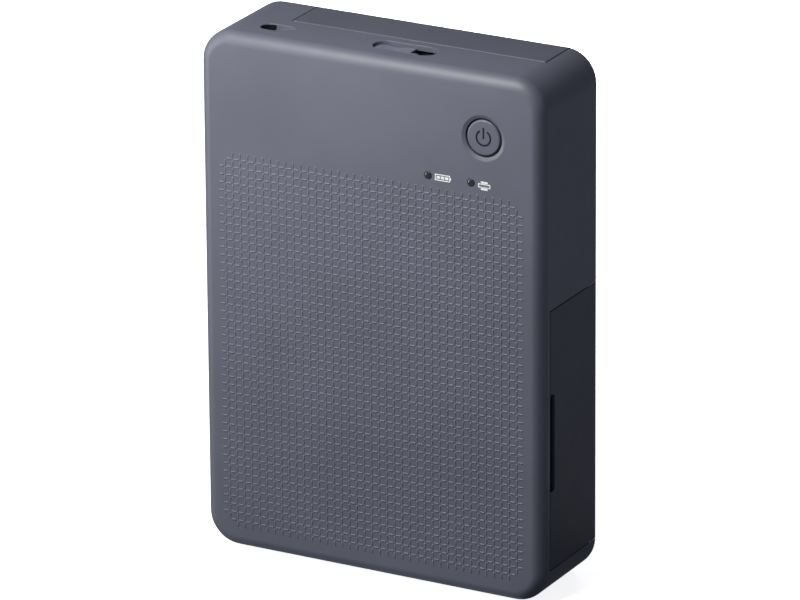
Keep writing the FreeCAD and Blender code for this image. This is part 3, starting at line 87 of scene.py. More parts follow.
def weldPoints():
    bpy.ops.mesh.select_all(action="SELECT")
    bpy.ops.mesh.remove_doubles(threshold=fineness["weld"])


def turnOutwards():
    bpy.ops.mesh.select_all(action="SELECT")
    bpy.ops.mesh.normals_make_consistent(inside=False)


def markFaces(obj, wanted):  # selects the faces whose centre and normal pass the test
    bpy.ops.object.mode_set(mode="OBJECT")
    for face in obj.data.polygons:
        face.select = wanted(face.center, face.normal)
    bpy.ops.object.mode_set(mode="EDIT")


def addModifier(obj, kind, **settings):
    pickObject(obj)
    modifier = obj.modifiers.new(kind.title(), kind)
    for key, value in settings.items():
        setattr(modifier, key, value)
    bpy.ops.object.modifier_apply(modifier=modifier.name)


def roundCorners(obj, width):
    addModifier(obj, "BEVEL", width=width, segments=2, limit_method="ANGLE", angle_limit=fineness["corner"])
    bpy.ops.object.shade_smooth_by_angle(angle=fineness["smooth"])


def copyNode(nodeName, name):  # a node's mesh again, its loose triangles merged, left open for editing
    copy = bpy.data.objects.new(name, nodes[nodeName].data.copy())
    bpy.context.scene.collection.objects.link(copy)
    editMesh(copy)
    weldPoints()
    bpy.ops.mesh.dissolve_limited(angle_limit=fineness["flat"])
    return copy


def settle(obj):  # puts the place into the mesh, as the frame's own nodes have it
    pickObject(obj)
    bpy.ops.object.transform_apply(location=True, rotation=True, scale=True)


def finishPiece(obj, name, body, finish):
    settle(obj)
    obj.name = name
    obj.data.name = name
    obj.data.materials.clear()
    obj.data.materials.append(finish)
    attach(obj, body)


# finishes
def newFinish(name):
    finish = bpy.data.materials.new(name)
    finish.use_nodes = True
    tree = finish.node_tree
    shader = tree.nodes["Principled BSDF"]
    place = tree.nodes.new("ShaderNodeTexCoord")
    return finish, tree, shader, place


def addNoise(tree, place, scale, detail=3.0, stretch=None):
    noise = tree.nodes.new("ShaderNodeTexNoise")
    noise.inputs["Scale"].default_value = scale
    noise.inputs["Detail"].default_value = detail
    if stretch:
        mapping = tree.nodes.new("ShaderNodeMapping")
        mapping.inputs["Scale"].default_value = stretch
        tree.links.new(place.outputs["Object"], mapping.inputs["Vector"])
        tree.links.new(mapping.outputs["Vector"], noise.inputs["Vector"])
    else:
        tree.links.new(place.outputs["Object"], noise.inputs["Vector"])
    return noise


def mixTones(tree, noise, dark, light, low=0.35, high=0.65):
    ramp = tree.nodes.new("ShaderNodeValToRGB")
    ramp.color_ramp.elements[0].position = low
    ramp.color_ramp.elements[0].color = (*dark, 1)
    ramp.color_ramp.elements[1].position = high
    ramp.color_ramp.elements[1].color = (*light, 1)
    tree.links.new(noise.outputs["Fac"], ramp.inputs["Fac"])
    return ramp


def spreadValue(tree, noise, low, high):
    spread = tree.nodes.new("ShaderNodeMapRange")
    spread.inputs["To Min"].default_value = low
    spread.inputs["To Max"].default_value = high
    tree.links.new(noise.outputs["Fac"], spread.inputs["Value"])
    return spread


def addRelief(tree, noise, shader, depth, strength=1.0):
    relief = tree.nodes.new("ShaderNodeBump")
    relief.inputs["Distance"].default_value = depth
    relief.inputs["Strength"].default_value = strength
    tree.links.new(noise.outputs["Fac"], relief.inputs["Height"])
    tree.links.new(relief.outputs["Normal"], shader.inputs["Normal"])


def shade(colour, factor):
    return tuple(channel * factor for channel in colour)


plasticMarks = {
    "flow": (38.0, 4.0),  # scale and detail
    "cloud": (260.0, 3.0),
    "grainDetail": 2.0,
    "brighter": 0.04,
    "duller": 0.05,
}


def mouldedPlastic(name, colour, rough, grain=4200.0, depth=0.00002, sheen=0.45, mottle=0.06):
    # spark-eroded grain, with faint flow marks in tone and gloss
    finish, tree, shader, place = newFinish(name)
    flow = addNoise(tree, place, *plasticMarks["flow"])
    tones = mixTones(tree, flow, shade(colour, 1 - mottle), shade(colour, 1 + mottle))
    tree.links.new(tones.outputs["Color"], shader.inputs["Base Color"])
    cloud = addNoise(tree, place, *plasticMarks["cloud"])
    gloss = spreadValue(tree, cloud, rough - plasticMarks["brighter"], rough + plasticMarks["duller"])
    tree.links.new(gloss.outputs["Result"], shader.inputs["Roughness"])
    addRelief(tree, addNoise(tree, place, grain, plasticMarks["grainDetail"]), shader, depth)
    shader.inputs["Specular IOR Level"].default_value = sheen
    return finish


metalMarks = {
    "scale": 5200.0,
    "detail": 3.0,
    "dark": 0.82,
    "light": 1.08,
    "brighter": 0.07,
    "duller": 0.09,
}


def rolledMetal(name, colour, rough, stretch, depth=0.000006):
    # fine marks drawn out along the rolling or turning direction
    finish, tree, shader, place = newFinish(name)
    marks = addNoise(tree, place, metalMarks["scale"], metalMarks["detail"], stretch)
    tones = mixTones(tree, marks, shade(colour, metalMarks["dark"]), shade(colour, metalMarks["light"]))
    tree.links.new(tones.outputs["Color"], shader.inputs["Base Color"])
    gloss = spreadValue(tree, marks, rough - metalMarks["brighter"], rough + metalMarks["duller"])
    tree.links.new(gloss.outputs["Result"], shader.inputs["Roughness"])
    addRelief(tree, marks, shader, depth)
    shader.inputs["Metallic"].default_value = 1.0
    return finish


rubberGrit = {
    "scale": 2600.0,
    "detail": 4.0,
    "dark": 0.7,
    "light": 1.35,
    "gloss": (0.72, 0.92),
    "depth": 0.00004,
}


def groundRubber(name, colour):
    finish, tree, shader, place = newFinish(name)
    grit = addNoise(tree, place, rubberGrit["scale"], rubberGrit["detail"])
    tones = mixTones(tree, grit, shade(colour, rubberGrit["dark"]), shade(colour, rubberGrit["light"]))
    tree.links.new(tones.outputs["Color"], shader.inputs["Base Color"])
    gloss = spreadValue(tree, grit, *rubberGrit["gloss"])
    tree.links.new(gloss.outputs["Result"], shader.inputs["Roughness"])
    addRelief(tree, grit, shader, rubberGrit["depth"])
    return finish


dyeBands = {"scale": 90.0, "waver": 1.2, "dark": 0.7, "light": 1.3}
filmWrinkle = {"scale": 160.0, "detail": 2.0, "gloss": (0.12, 0.26), "depth": 0.0001, "strength": 0.4}


def dyedFilm(name, colour):
    finish, tree, shader, place = newFinish(name)
    bands = tree.nodes.new("ShaderNodeTexWave")
    bands.inputs["Scale"].default_value = dyeBands["scale"]
    bands.inputs["Distortion"].default_value = dyeBands["waver"]
    tree.links.new(place.outputs["Object"], bands.inputs["Vector"])
    ramp = tree.nodes.new("ShaderNodeValToRGB")
    ramp.color_ramp.elements[0].color = (*shade(colour, dyeBands["dark"]), 1)
    ramp.color_ramp.elements[1].color = (*shade(colour, dyeBands["light"]), 1)
    tree.links.new(bands.outputs["Fac"], ramp.inputs["Fac"])
    tree.links.new(ramp.outputs["Color"], shader.inputs["Base Color"])
    wrinkle = addNoise(tree, place, filmWrinkle["scale"], filmWrinkle["detail"])
    gloss = spreadValue(tree, wrinkle, *filmWrinkle["gloss"])
    tree.links.new(gloss.outputs["Result"], shader.inputs["Roughness"])
    addRelief(tree, wrinkle, shader, filmWrinkle["depth"], filmWrinkle["strength"])
    return finish


boardTracks = {"scale": 260.0, "width": 0.045, "second": 1.25, "hazeScale": 500.0, "gloss": (0.25, 0.4)}


def boardMask(name, colour, copper):
    # solder mask with the lighter tracks that show through it
    finish, tree, shader, place = newFinish(name)
    tracks = tree.nodes.new("ShaderNodeTexBrick")
    tracks.inputs["Scale"].default_value = boardTracks["scale"]
    tracks.inputs["Mortar Size"].default_value = boardTracks["width"]
    tracks.inputs["Color1"].default_value = (*colour, 1)
    tracks.inputs["Color2"].default_value = (*shade(colour, boardTracks["second"]), 1)
    tracks.inputs["Mortar"].default_value = (*copper, 1)
    turn = tree.nodes.new("ShaderNodeMapping")
    turn.inputs["Rotation"].default_value = (math.radians(90), 0, 0)
    tree.links.new(place.outputs["Object"], turn.inputs["Vector"])
    tree.links.new(turn.outputs["Vector"], tracks.inputs["Vector"])
    tree.links.new(tracks.outputs["Color"], shader.inputs["Base Color"])
    haze = addNoise(tree, place, boardTracks["hazeScale"])
    gloss = spreadValue(tree, haze, *boardTracks["gloss"])
    tree.links.new(gloss.outputs["Result"], shader.inputs["Roughness"])
    return finish


caseLook = {
    "colour": (0.085, 0.0893, 0.128),
    "rough": 0.50,
    "grain": 4200.0,
    "depth": 0.000022,
}
blueGrey = caseLook["colour"]
finishes = {
    "case_plastic": mouldedPlastic("caseBlueGrey", blueGrey, caseLook["rough"], caseLook["grain"],
                                   caseLook["depth"]),
    "back_plastic": mouldedPlastic("backBlueGrey", shade(blueGrey, 0.96), 0.52),
    "cover_plastic": mouldedPlastic("coverBlueGrey", shade(blueGrey, 0.80), 0.52),
    "door_plastic": mouldedPlastic("doorBlueGrey", shade(blueGrey, 0.60), 0.56),
    "button_plastic": mouldedPlastic("buttonBlueGrey", shade(blueGrey, 1.02), 0.42, 5200.0, 0.000012),
    # the lever's tone, 1.45 times the case's, is painted light: the lamps light little of its recess
    "lever_plastic": mouldedPlastic("leverPaintedLightBlueGrey", shade(blueGrey, 1.45), 0.45, 5200.0, 0.000012),
    "lens_plastic": mouldedPlastic("smokedLens", (0.014, 0.016, 0.026), 0.16, 900.0, 0.000004, 0.6),
    "black_plastic": mouldedPlastic("blackMoulding", (0.018, 0.018, 0.020), 0.48),
    "tray_plastic": mouldedPlastic("trayGrey", (0.045, 0.047, 0.052), 0.5),
    "cassette_plastic": mouldedPlastic("cassetteBlack", (0.022, 0.023, 0.025), 0.42),
    "gear_plastic": mouldedPlastic("naturalAcetal", (0.62, 0.60, 0.54), 0.38, 2600.0, 0.00001),
    "film": dyedFilm("dyeRibbon", (0.10, 0.045, 0.02)),
    "sheet_steel": rolledMetal("zincSheet", (0.56, 0.57, 0.58), 0.36, (0.06, 1.0, 1.0)),
    "steel": rolledMetal("brightSteel", (0.60, 0.60, 0.61), 0.24, (1.0, 0.08, 0.08)),
    "spring_steel": rolledMetal("springStrip", (0.40, 0.40, 0.42), 0.3, (1.0, 1.0, 0.08)),
    "brass": rolledMetal("turnedBrass", (0.72, 0.52, 0.24), 0.26, (1.0, 0.1, 0.1)),
    "roller_rubber": groundRubber("rollerRubber", (0.030, 0.030, 0.032)),
    "sink_aluminium": rolledMetal("extrudedAluminium", (0.66, 0.67, 0.68), 0.34, (0.05, 1.0, 1.0)),
    "head_ceramic": mouldedPlastic("glazedCeramic", (0.70, 0.68, 0.62), 0.22, 1800.0, 0.000006, 0.55),
    "board": boardMask("greenBoard", (0.010, 0.075, 0.035), (0.03, 0.16, 0.07)),
    "board_parts": mouldedPlastic("chipEpoxy", (0.014, 0.014, 0.015), 0.55, 5000.0, 0.00002),
    "battery_wrap": mouldedPlastic("batterySleeve", (0.30, 0.31, 0.33), 0.32, 1400.0, 0.00001),
}
for part in frame["record"]["subparts"]:
    node = nodes[part["node"]]
    if not node.material_slots:
        node.data.materials.append(finishes[part["material_slot"]])
    node.material_slots[0].material = finishes[part["material_slot"]]
print("printer: finishes on every node")

# the raised lattice on the front: short dashes that leave the crossings open
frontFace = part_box("front_case")[0][1]
lattice = {
    "body": "case",
    "left": -44.66 * mm,
    "top": 110.80 * mm,
    "pitchAcross": 2.29 * mm,
    "pitchDown": 2.284 * mm,
    "columns": 40,
    "rows": 46,
    "dashLength": 1.50 * mm,
    "dashWidth": 0.52 * mm,
    "crest": 0.24,  # share of the width that stays flat on top
    "height": 0.16 * mm,
    "sunk": 0.03 * mm,
}
# the dashes are the case's own moulding; their tone, 1.28 times the case's, is painted highlight
latticeHighlightFinish = mouldedPlastic("latticePaintedHighlight", shade(blueGrey, 1.28), 0.56, 5200.0, 0.000010)


def makeDashes(name, alongX, x, z, across, down):
    long, wide = lattice["dashLength"], lattice["dashWidth"]
    high, sunk = lattice["height"], lattice["sunk"]
    size = (long, wide) if alongX else (wide, long)
    bpy.ops.mesh.primitive_cube_add(size=1, location=(x, frontFace - high / 2 + sunk / 2, z))
    dash = bpy.context.object
    dash.scale = (size[0], high + sunk, size[1])
    settle(dash)
    editMesh(dash)
    markFaces(dash, lambda centre, normal: normal.y < -0.5)
    slope = wide * (1 - lattice["crest"])
    crest = ((size[0] - slope) / size[0], 1, (size[1] - slope) / size[1])
    bpy.ops.transform.resize(value=crest, center_override=(x, frontFace, z))
    leaveEdit()
    for count, step in ((across, (lattice["pitchAcross"], 0, 0)), (down, (0, 0, -lattice["pitchDown"]))):
        addModifier(dash, "ARRAY", count=count, use_relative_offset=False, use_constant_offset=True,
                    constant_offset_displace=step)
    dash.name = name
    return dash


def dropCorners(obj, x0, x1, z0, z1):  # the corner dashes are left out
    editMesh(obj)
    reach = lattice["dashLength"]
    markFaces(obj, lambda centre, normal: min(abs(centre.x - x0), abs(centre.x - x1)) < reach
              and min(abs(centre.z - z0), abs(centre.z - z1)) < reach)
    bpy.ops.mesh.delete(type="FACE")
    leaveEdit()


def makeLattice():
    deselectAll()
    left, top = lattice["left"], lattice["top"]
    across, down = lattice["pitchAcross"], lattice["pitchDown"]
    right = left + across * (lattice["columns"] - 1)
    low = top - down * (lattice["rows"] - 1)
    lying = makeDashes("lyingDashes", True, left, top, lattice["columns"], lattice["rows"])
    dropCorners(lying, left, right, top, low)
    standing = makeDashes("standingDashes", False, left + across / 2, top + down / 2,
                          lattice["columns"] - 1, lattice["rows"] + 1)
    dropCorners(standing, left + across / 2, right - across / 2, top + down / 2, low - down / 2)
    pickObject(lying)
    standing.select_set(True)
    bpy.ops.object.join()
    finishPiece(lying, "frontLattice", lattice["body"], latticeHighlightFinish)


makeLattice()
print("printer: lattice on the front")

# the outer mouldings again, with the small edge radii that a mould gives
softShells = {
    "front_case": {"name": "frontCase", "body": "case", "slot": "case_plastic", "edge": 0.12},
    "rear_case": {"name": "rearCase", "body": "case", "slot": "back_plastic", "edge": 0.12},
    "rear_cover": {"name": "rearCover", "body": "rear_cover", "slot": "cover_plastic", "edge": 0.16},
    "cassette_door": {"name": "cassetteDoor", "body": "cassette_door", "slot": "door_plastic", "edge": 0.12},
    "release_lever": {"name": "releaseLever", "body": "release_lever", "slot": "lever_plastic", "edge": 0.10},
    "power_button": {"name": "powerButton", "body": "power_button", "slot": "button_plastic", "edge": 0.12},
}
sharpBeyond = math.radians(24)  # flatter joins are left as they are
scoopCorner = {  # the scoop runs out in a feather edge, which gets no radius
    "x": 46 * mm,
    "front": -10.5 * mm,
    "low": 29 * mm,
    "high": 61 * mm,
}


def inScoop(point):
    return (point.x > scoopCorner["x"] and point.y < scoopCorner["front"]
            and scoopCorner["low"] < point.z < scoopCorner["high"])


def holdInside(obj, nodeName):  # no point stands out of the moulding's own box
    low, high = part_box(nodeName)
    for point in obj.data.vertices:
        point.co = [min(max(value, low[axis]), high[axis]) for axis, value in enumerate(point.co)]


def softenShell(nodeName, look):
    copy = copyNode(nodeName, look["name"])
    bpy.ops.mesh.select_mode(type="EDGE")
    bpy.ops.mesh.select_all(action="DESELECT")
    bpy.ops.mesh.edges_select_sharp(sharpness=sharpBeyond)
    leaveEdit()
    points = copy.data.vertices
    for edge in copy.data.edges:
        if any(inScoop(points[end].co) for end in edge.vertices):
            edge.select = False
    bpy.ops.object.mode_set(mode="EDIT")
    bpy.ops.transform.edge_bevelweight(value=1.0)
    leaveEdit()
    bpy.ops.object.shade_smooth_by_angle(angle=sharpBeyond)
    addModifier(copy, "BEVEL", width=look["edge"] * mm, segments=2, limit_method="WEIGHT",
                use_clamp_overlap=False)
    holdInside(copy, nodeName)
    addModifier(copy, "WEIGHTED_NORMAL", mode="FACE_AREA", weight=100, keep_sharp=True)
    finishPiece(copy, look["name"], look["body"], finishes[look["slot"]])
    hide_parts(nodeName)


for nodeName, look in softShells.items():
    softenShell(nodeName, look)
print("printer: outer mouldings softened")

# the flatter slope that leads a finger into the scoop at the door's edge
scoopRamp = {
    "start": (51.03 * mm, -13.62 * mm),
    "root": 49.90 * mm,
    "bend": 9.6 * mm,  # radius of its roll-off
    "turn": 24.5,  # degrees
    "steps": 12,
    "low": 31.80 * mm,
    "high": 58.05 * mm,
    "edge": 0.06 * mm,
}


def makeScoopRamp():
    startX, startY = scoopRamp["start"]
    root, low, high = scoopRamp["root"], scoopRamp["low"], scoopRamp["high"]
    deselectAll()
    bpy.ops.mesh.primitive_plane_add(size=1, location=((startX + root) / 2, startY, (low + high) / 2),
                                     rotation=(math.pi / 2, 0, 0))
    ramp = bpy.context.object
    ramp.scale = (startX - root, high - low, 1)
    settle(ramp)
    editMesh(ramp)
    bpy.ops.mesh.select_all(action="SELECT")
    bpy.ops.mesh.spin(steps=scoopRamp["steps"], angle=math.radians(scoopRamp["turn"]), axis=(0, 0, -1),
                      center=(startX - scoopRamp["bend"], startY, low))
    weldPoints()
    turnOutwards()
    leaveEdit()
    roundCorners(ramp, scoopRamp["edge"])
    finishPiece(ramp, "scoopRamp", "case", finishes["case_plastic"])


makeScoopRamp()
print("printer: slope in the finger scoop")

# the springs again, with small edge radii; nothing here makes them give way
springs = {
    "pressure_springs": {"name": "plateSprings", "body": "rear_cover", "joint": "pressure_slide",
                         "axis": (0, 1, 0), "travel": 1.6 * mm},
    "lever_spring": {"name": "leverSpring", "body": "case", "joint": "lever_slide",
                     "axis": (1, 0, 0), "travel": 4.3 * mm},
}
springEdge = 0.05 * mm


def makeSpring(nodeName, look):
    copy = copyNode(nodeName, look["name"])
    leaveEdit()
    roundCorners(copy, springEdge)
    slot = next(part["material_slot"] for part in frame["record"]["subparts"] if part["node"] == nodeName)
    finishPiece(copy, look["name"], look["body"], finishes[slot])
    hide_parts(nodeName)
    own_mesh(copy)


for nodeName, look in springs.items():
    makeSpring(nodeName, look)
print("printer: springs")

# a dark sheet in the deep end of the strap eye: painted shade, standing in for the hole's shadow
eyeShadeSheet = {
    "centre": (-34.95 * mm, -6.65 * mm),
    "radius": 2.42 * mm,
    "sides": 56,
    "straight": 0.72 * mm,
    "low": 143.65 * mm,
    "high": 145.5 * mm,
    "wall": 0.14 * mm,
}
# near black: the sheet's colour is painted shade
eyeShadeFinish = mouldedPlastic("eyePaintedShade", (0.003, 0.003, 0.006), 0.75, 3600.0, 0.00001, 0.15)


def makeEyeShadeSheet():
    x, y = eyeShadeSheet["centre"]
    low, high = eyeShadeSheet["low"], eyeShadeSheet["high"]
    deselectAll()
    bpy.ops.mesh.primitive_cylinder_add(vertices=eyeShadeSheet["sides"], radius=eyeShadeSheet["radius"],
                                        depth=high - low, end_fill_type="NOTHING",
                                        location=(x, y, (low + high) / 2))
    shadeSheet = bpy.context.object
    settle(shadeSheet)
    editMesh(shadeSheet)
    bpy.ops.mesh.select_all(action="SELECT")
    bpy.ops.mesh.bisect(plane_co=(x, y, 0), plane_no=(1, 0, 0), clear_outer=True)
    bpy.ops.mesh.select_mode(type="EDGE")
    bpy.ops.mesh.select_all(action="DESELECT")
    leaveEdit()
    points = shadeSheet.data.vertices
    for edge in shadeSheet.data.edges:
        edge.select = all(abs(points[end].co.x - x) < fineness["weld"] for end in edge.vertices)
    bpy.ops.object.mode_set(mode="EDIT")
    bpy.ops.mesh.extrude_region_move(TRANSFORM_OT_translate={"value": (eyeShadeSheet["straight"], 0, 0)})
    turnOutwards()
    leaveEdit()
    addModifier(shadeSheet, "SOLIDIFY", thickness=eyeShadeSheet["wall"], offset=-1.0)
    bpy.ops.object.shade_smooth_by_angle(angle=fineness["smooth"])
    finishPiece(shadeSheet, "eyeShadeSheet", "case", eyeShadeFinish)


makeEyeShadeSheet()
print("printer: lining in the strap eye")

# the sign on the power button, let into its face
powerSign = {
    "centre": (33.75 * mm, 128.43 * mm),
    "ringRadius": 2.05 * mm,
    "stroke": 0.55 * mm,
    "gap": math.radians(30),  # half of the opening at the top
    "steps": 56,
    "barLow": -0.28 * mm,
    "barHigh": 2.85 * mm,
    "proud": 0.02 * mm,
    "deep": 0.10 * mm,
    "edge": 0.03 * mm,
    "corner": math.radians(50),
}
signInk = mouldedPlastic("signFiller", (0.005, 0.006, 0.014), 0.6, 3000.0, 0.000008, 0.2)
printInk = mouldedPlastic("padPrint", (0.66, 0.67, 0.70), 0.5, 3000.0, 0.000004, 0.4, 0.03)


def makePowerSign():
    x, z = powerSign["centre"]
    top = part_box("power_button")[0][1] - powerSign["proud"]
    depth = powerSign["deep"] + powerSign["proud"]
    gap, reach, stroke = powerSign["gap"], powerSign["ringRadius"], powerSign["stroke"]
    deselectAll()
    start = (x + reach * math.sin(gap), top + depth / 2, z + reach * math.cos(gap))
    bpy.ops.mesh.primitive_plane_add(size=1, location=start, rotation=(0, gap - math.pi / 2, 0))
    ring = bpy.context.object
    ring.scale = (stroke, depth, 1)
    settle(ring)
    editMesh(ring)
    bpy.ops.mesh.select_all(action="SELECT")
    bpy.ops.mesh.spin(steps=powerSign["steps"], angle=2 * (math.pi - gap), axis=(0, -1, 0),
                      center=(x, top, z))
    weldPoints()
    turnOutwards()
    leaveEdit()
    low, high = powerSign["barLow"], powerSign["barHigh"]
    bpy.ops.mesh.primitive_cube_add(size=1, location=(x, top + depth / 2, z + (low + high) / 2))
    bar = bpy.context.object
    bar.scale = (stroke, depth, high - low)
    settle(bar)
    pickObject(ring)
    bar.select_set(True)
    bpy.ops.object.join()
    addModifier(ring, "BEVEL", width=powerSign["edge"], segments=1, limit_method="ANGLE",
                angle_limit=powerSign["corner"])
    bpy.ops.object.shade_smooth_by_angle(angle=fineness["smooth"])
    finishPiece(ring, "powerSign", "power_button", signInk)


makePowerSign()

# plain printed marks beside the two lamps: a battery, and a sheet leaving a machine
marks = {
    "batteryFrom": (19.55 * mm, 114.75 * mm),
    "batterySize": (4.5 * mm, 1.8 * mm),
    "line": 0.26 * mm,
    "cells": 3,
    "sheetFrom": (32.3 * mm, 114.85 * mm),
    "bodySize": (3.6 * mm, 1.1 * mm),
    "sheetWidth": 2.0 * mm,
    "sheetRise": 0.62 * mm,
    "film": 0.02 * mm,
}


def addPatch(x0, x1, z0, z1, frameLine=0.0):  # a flat patch on the front, hollow if it has a line width
    bpy.ops.mesh.primitive_plane_add(size=1, location=((x0 + x1) / 2, frontFace, (z0 + z1) / 2),
                                     rotation=(math.pi / 2, 0, 0))
    patch = bpy.context.object
    patch.scale = (x1 - x0, z1 - z0, 1)
    settle(patch)
    if frameLine:
        editMesh(patch)
        bpy.ops.mesh.select_all(action="SELECT")
        bpy.ops.mesh.inset(thickness=frameLine)
        bpy.ops.mesh.delete(type="FACE")
        leaveEdit()
    return patch


def printPatches(name, patches):
    pickObject(patches[0])
    for patch in patches[1:]:
        patch.select_set(True)
    bpy.ops.object.join()
    mark = bpy.context.object
    addModifier(mark, "SOLIDIFY", thickness=marks["film"], offset=1.0)
    finishPiece(mark, name, "case", printInk)


def makeMarks():
    deselectAll()
    x, z = marks["batteryFrom"]
    wide, high = marks["batterySize"]
    line = marks["line"]
    patches = [addPatch(x, x + wide, z, z + high, line),
               addPatch(x + wide, x + wide + line, z + high / 3, z + 2 * high / 3)]
    room = (wide - 3 * line) / marks["cells"]
    for cell in range(marks["cells"]):
        start = x + 2 * line + cell * room
        patches.append(addPatch(start, start + room - line, z + 2 * line, z + high - 2 * line))
    printPatches("batteryMark", patches)
    x, z = marks["sheetFrom"]
    wide, high = marks["bodySize"]
    rise, inset = marks["sheetRise"], (wide - marks["sheetWidth"]) / 2
    printPatches("sheetMark", [
        addPatch(x, x + wide, z, z + high, line),
        addPatch(x + inset, x + wide - inset, z + high + line / 2, z + high + rise),
        addPatch(x + inset, x + wide - inset, z - rise, z + line / 2),
    ])


makeMarks()

# the two lamp windows, slightly crowned
lampWindow = {
    "height": 115.65 * mm,
    "radius": 0.98 * mm,
    "crown": 0.14 * mm,
    "sides": 32,
    "rings": 16,
    "smooth": math.radians(40),
}
windowPlaces = {
    "charge_lens": {"name": "chargeWindow", "x": 17.55 * mm},
    "status_lens": {"name": "statusWindow", "x": 30.22 * mm},
}


def makeWindow(nodeName, look):
    x, face = look["x"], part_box(nodeName)[0][1]
    bpy.ops.mesh.primitive_uv_sphere_add(segments=lampWindow["sides"], ring_count=lampWindow["rings"],
                                         radius=lampWindow["radius"], rotation=(math.pi / 2, 0, 0),
                                         location=(x, face, lampWindow["height"]))
    dome = bpy.context.object
    settle(dome)
    editMesh(dome)
    bpy.ops.mesh.select_all(action="SELECT")
    bpy.ops.mesh.bisect(plane_co=(x, face, 0), plane_no=(0, 1, 0), use_fill=True, clear_outer=True)
    bpy.ops.mesh.select_all(action="SELECT")
    flatter = lampWindow["crown"] / lampWindow["radius"]
    bpy.ops.transform.resize(value=(1, flatter, 1), center_override=(x, face, 0))
    leaveEdit()
    bpy.ops.object.shade_smooth_by_angle(angle=lampWindow["smooth"])
    finishPiece(dome, look["name"], "case", finishes["lens_plastic"])


for nodeName, look in windowPlaces.items():
    makeWindow(nodeName, look)
print("printer: sign, marks and lamp windows")

# floor, light and camera
stage = {
    "floorSize": 12,
    "floorDrop": 0.2 * mm,
    "floorTone": (0.90, 0.90, 0.91),
    "floorGlow": 0.95,
    "cardAt": (82 * mm, 4 * mm, -0.6 * mm),
    "cardSize": (76 * mm, 60 * mm),
    "cardGlow": (0.085, 0.090, 0.100),
    "cardRough": 0.95,
    "cardClouds": 0.98,
    "cloudScale": 3.0,
    "floorClouds": 0.99,  # the darker share in the floor's faint clouds
    "floorRough": 0.9,
    "floorSheen": 0.1,
    "lampTone": (1.0, 0.985, 0.90),
    "airLow": (0.33, 0.355, 0.40),
    "airHigh": (0.045, 0.048, 0.055),
    "airSeen": (0.88, 0.88, 0.89),
}
lamps = {
    "softboxKey": {"from": (-0.458, -0.308, 0.12), "aim": (0, 0, 0.08), "size": 0.35, "power": 2.5},
    "softboxEdge": {"from": (-0.049, -0.15, 0.307), "aim": (0, 0, 0.12), "size": 0.15, "power": 1.0},
    "softboxBack": {"from": (-0.22, 0.55, 0.07), "aim": (0, 0, 0.07), "size": 0.12, "power": 2.2},
}


def addArea(name, look):
    bpy.ops.object.light_add(type="AREA", location=look["from"])
    lamp = bpy.context.object
    lamp.name = name
    lamp.data.size = look["size"]
    lamp.data.energy = look["power"]
    lamp.data.color = stage["lampTone"]
    lamp.visible_camera = False
    lamp.rotation_euler = (Vector(look["from"]) - Vector(look["aim"])).to_track_quat("Z", "Y").to_euler()


def cloudedTone(name, tone, darker, socket):  # a tone with faint clouds in it
    finish, tree, shader, place = newFinish(name)
    cloud = addNoise(tree, place, stage["cloudScale"])
    tones = mixTones(tree, cloud, shade(tone, darker), tone)
    tree.links.new(tones.outputs["Color"], shader.inputs[socket])
    return finish, shader


def layFloor():
    bpy.ops.mesh.primitive_plane_add(size=stage["floorSize"], location=(0, 0, -stage["floorDrop"]))
    floor = bpy.context.object
    floor.name = "paleFloor"
    finish, shader = cloudedTone("paleFloorTone", stage["floorTone"], stage["floorClouds"], "Base Color")
    shader.inputs["Roughness"].default_value = stage["floorRough"]
    shader.inputs["Specular IOR Level"].default_value = stage["floorSheen"]
    shader.inputs["Emission Color"].default_value = (*stage["floorTone"], 1)
    shader.inputs["Emission Strength"].default_value = stage["floorGlow"]
    floor.data.materials.append(finish)
    floor.visible_diffuse = False
    floor.visible_glossy = False


def layContactCard():  # the floor close to the right side is dim, seen by the printer alone
    bpy.ops.mesh.primitive_plane_add(size=1, location=stage["cardAt"])
    card = bpy.context.object
    card.name = "contactCard"
    card.scale = (*stage["cardSize"], 1)
    settle(card)
    finish, shader = cloudedTone("contactShade", stage["cardGlow"], stage["cardClouds"], "Emission Color")
    shader.inputs["Emission Strength"].default_value = 1.0
    shader.inputs["Base Color"].default_value = (0.0, 0.0, 0.0, 1)
    shader.inputs["Roughness"].default_value = stage["cardRough"]
    card.data.materials.append(finish)
    card.visible_camera = False
    card.visible_shadow = False


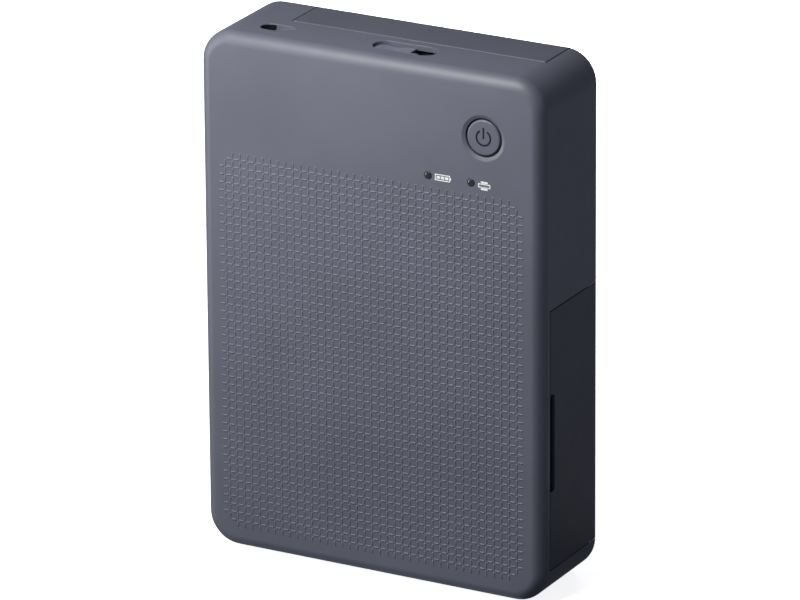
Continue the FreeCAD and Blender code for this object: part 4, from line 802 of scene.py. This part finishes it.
def lightAir():  # the pale floor's light comes from below, and little from above
    world = bpy.data.worlds.new("studioAir")
    world.use_nodes = True
    tree = world.node_tree
    air = tree.nodes["Background"]
    way = tree.nodes.new("ShaderNodeTexCoord")
    split = tree.nodes.new("ShaderNodeSeparateXYZ")
    ramp = tree.nodes.new("ShaderNodeValToRGB")
    spread = tree.nodes.new("ShaderNodeMapRange")
    spread.inputs["From Min"].default_value = -1.0  # straight down
    tree.links.new(way.outputs["Generated"], split.inputs["Vector"])
    tree.links.new(split.outputs["Z"], spread.inputs["Value"])
    tree.links.new(spread.outputs["Result"], ramp.inputs["Fac"])
    ramp.color_ramp.elements[0].color = (*stage["airLow"], 1)
    ramp.color_ramp.elements[1].color = (*stage["airHigh"], 1)
    seen = tree.nodes.new("ShaderNodeLightPath")
    choice = tree.nodes.new("ShaderNodeMix")
    choice.data_type = "RGBA"
    tree.links.new(seen.outputs["Is Camera Ray"], choice.inputs["Factor"])
    tree.links.new(ramp.outputs["Color"], choice.inputs["A"])
    choice.inputs["B"].default_value = (*stage["airSeen"], 1)
    tree.links.new(choice.outputs["Result"], air.inputs["Color"])
    bpy.context.scene.world = world


cameraView = {
    "azimuth": 28.6236,
    "elevation": 20.2044,
    "roll": -0.4037,
    "distance": 1.98735,
    "target": (0, 0, 72.9 * mm),
    "aside": 0.0293 * mm,
    "up": 0.1478 * mm,
    "lens": 336.885,
    "sensor": 36,
    "farEnd": 50,
}


def placeCamera():
    turn, tilt = math.radians(cameraView["azimuth"]), math.radians(cameraView["elevation"])
    back = Vector((math.sin(turn) * math.cos(tilt), -math.cos(turn) * math.cos(tilt), math.sin(tilt)))
    pose = back.to_track_quat("Z", "Y") @ Quaternion((0, 0, 1), math.radians(cameraView["roll"]))
    spot = Vector(cameraView["target"]) + back * cameraView["distance"]
    spot -= pose @ Vector((cameraView["aside"], cameraView["up"], 0))
    bpy.ops.object.camera_add(location=spot, rotation=pose.to_euler())
    camera = bpy.context.object
    camera.data.lens = cameraView["lens"]
    camera.data.sensor_width = cameraView["sensor"]
    camera.data.clip_end = cameraView["farEnd"]
    bpy.context.scene.camera = camera


deselectAll()
layFloor()
layContactCard()
for name, look in lamps.items():
    addArea(name, look)
lightAir()
bpy.context.scene.view_settings.view_transform = "Standard"
placeCamera()
print("printer: stage and camera set")
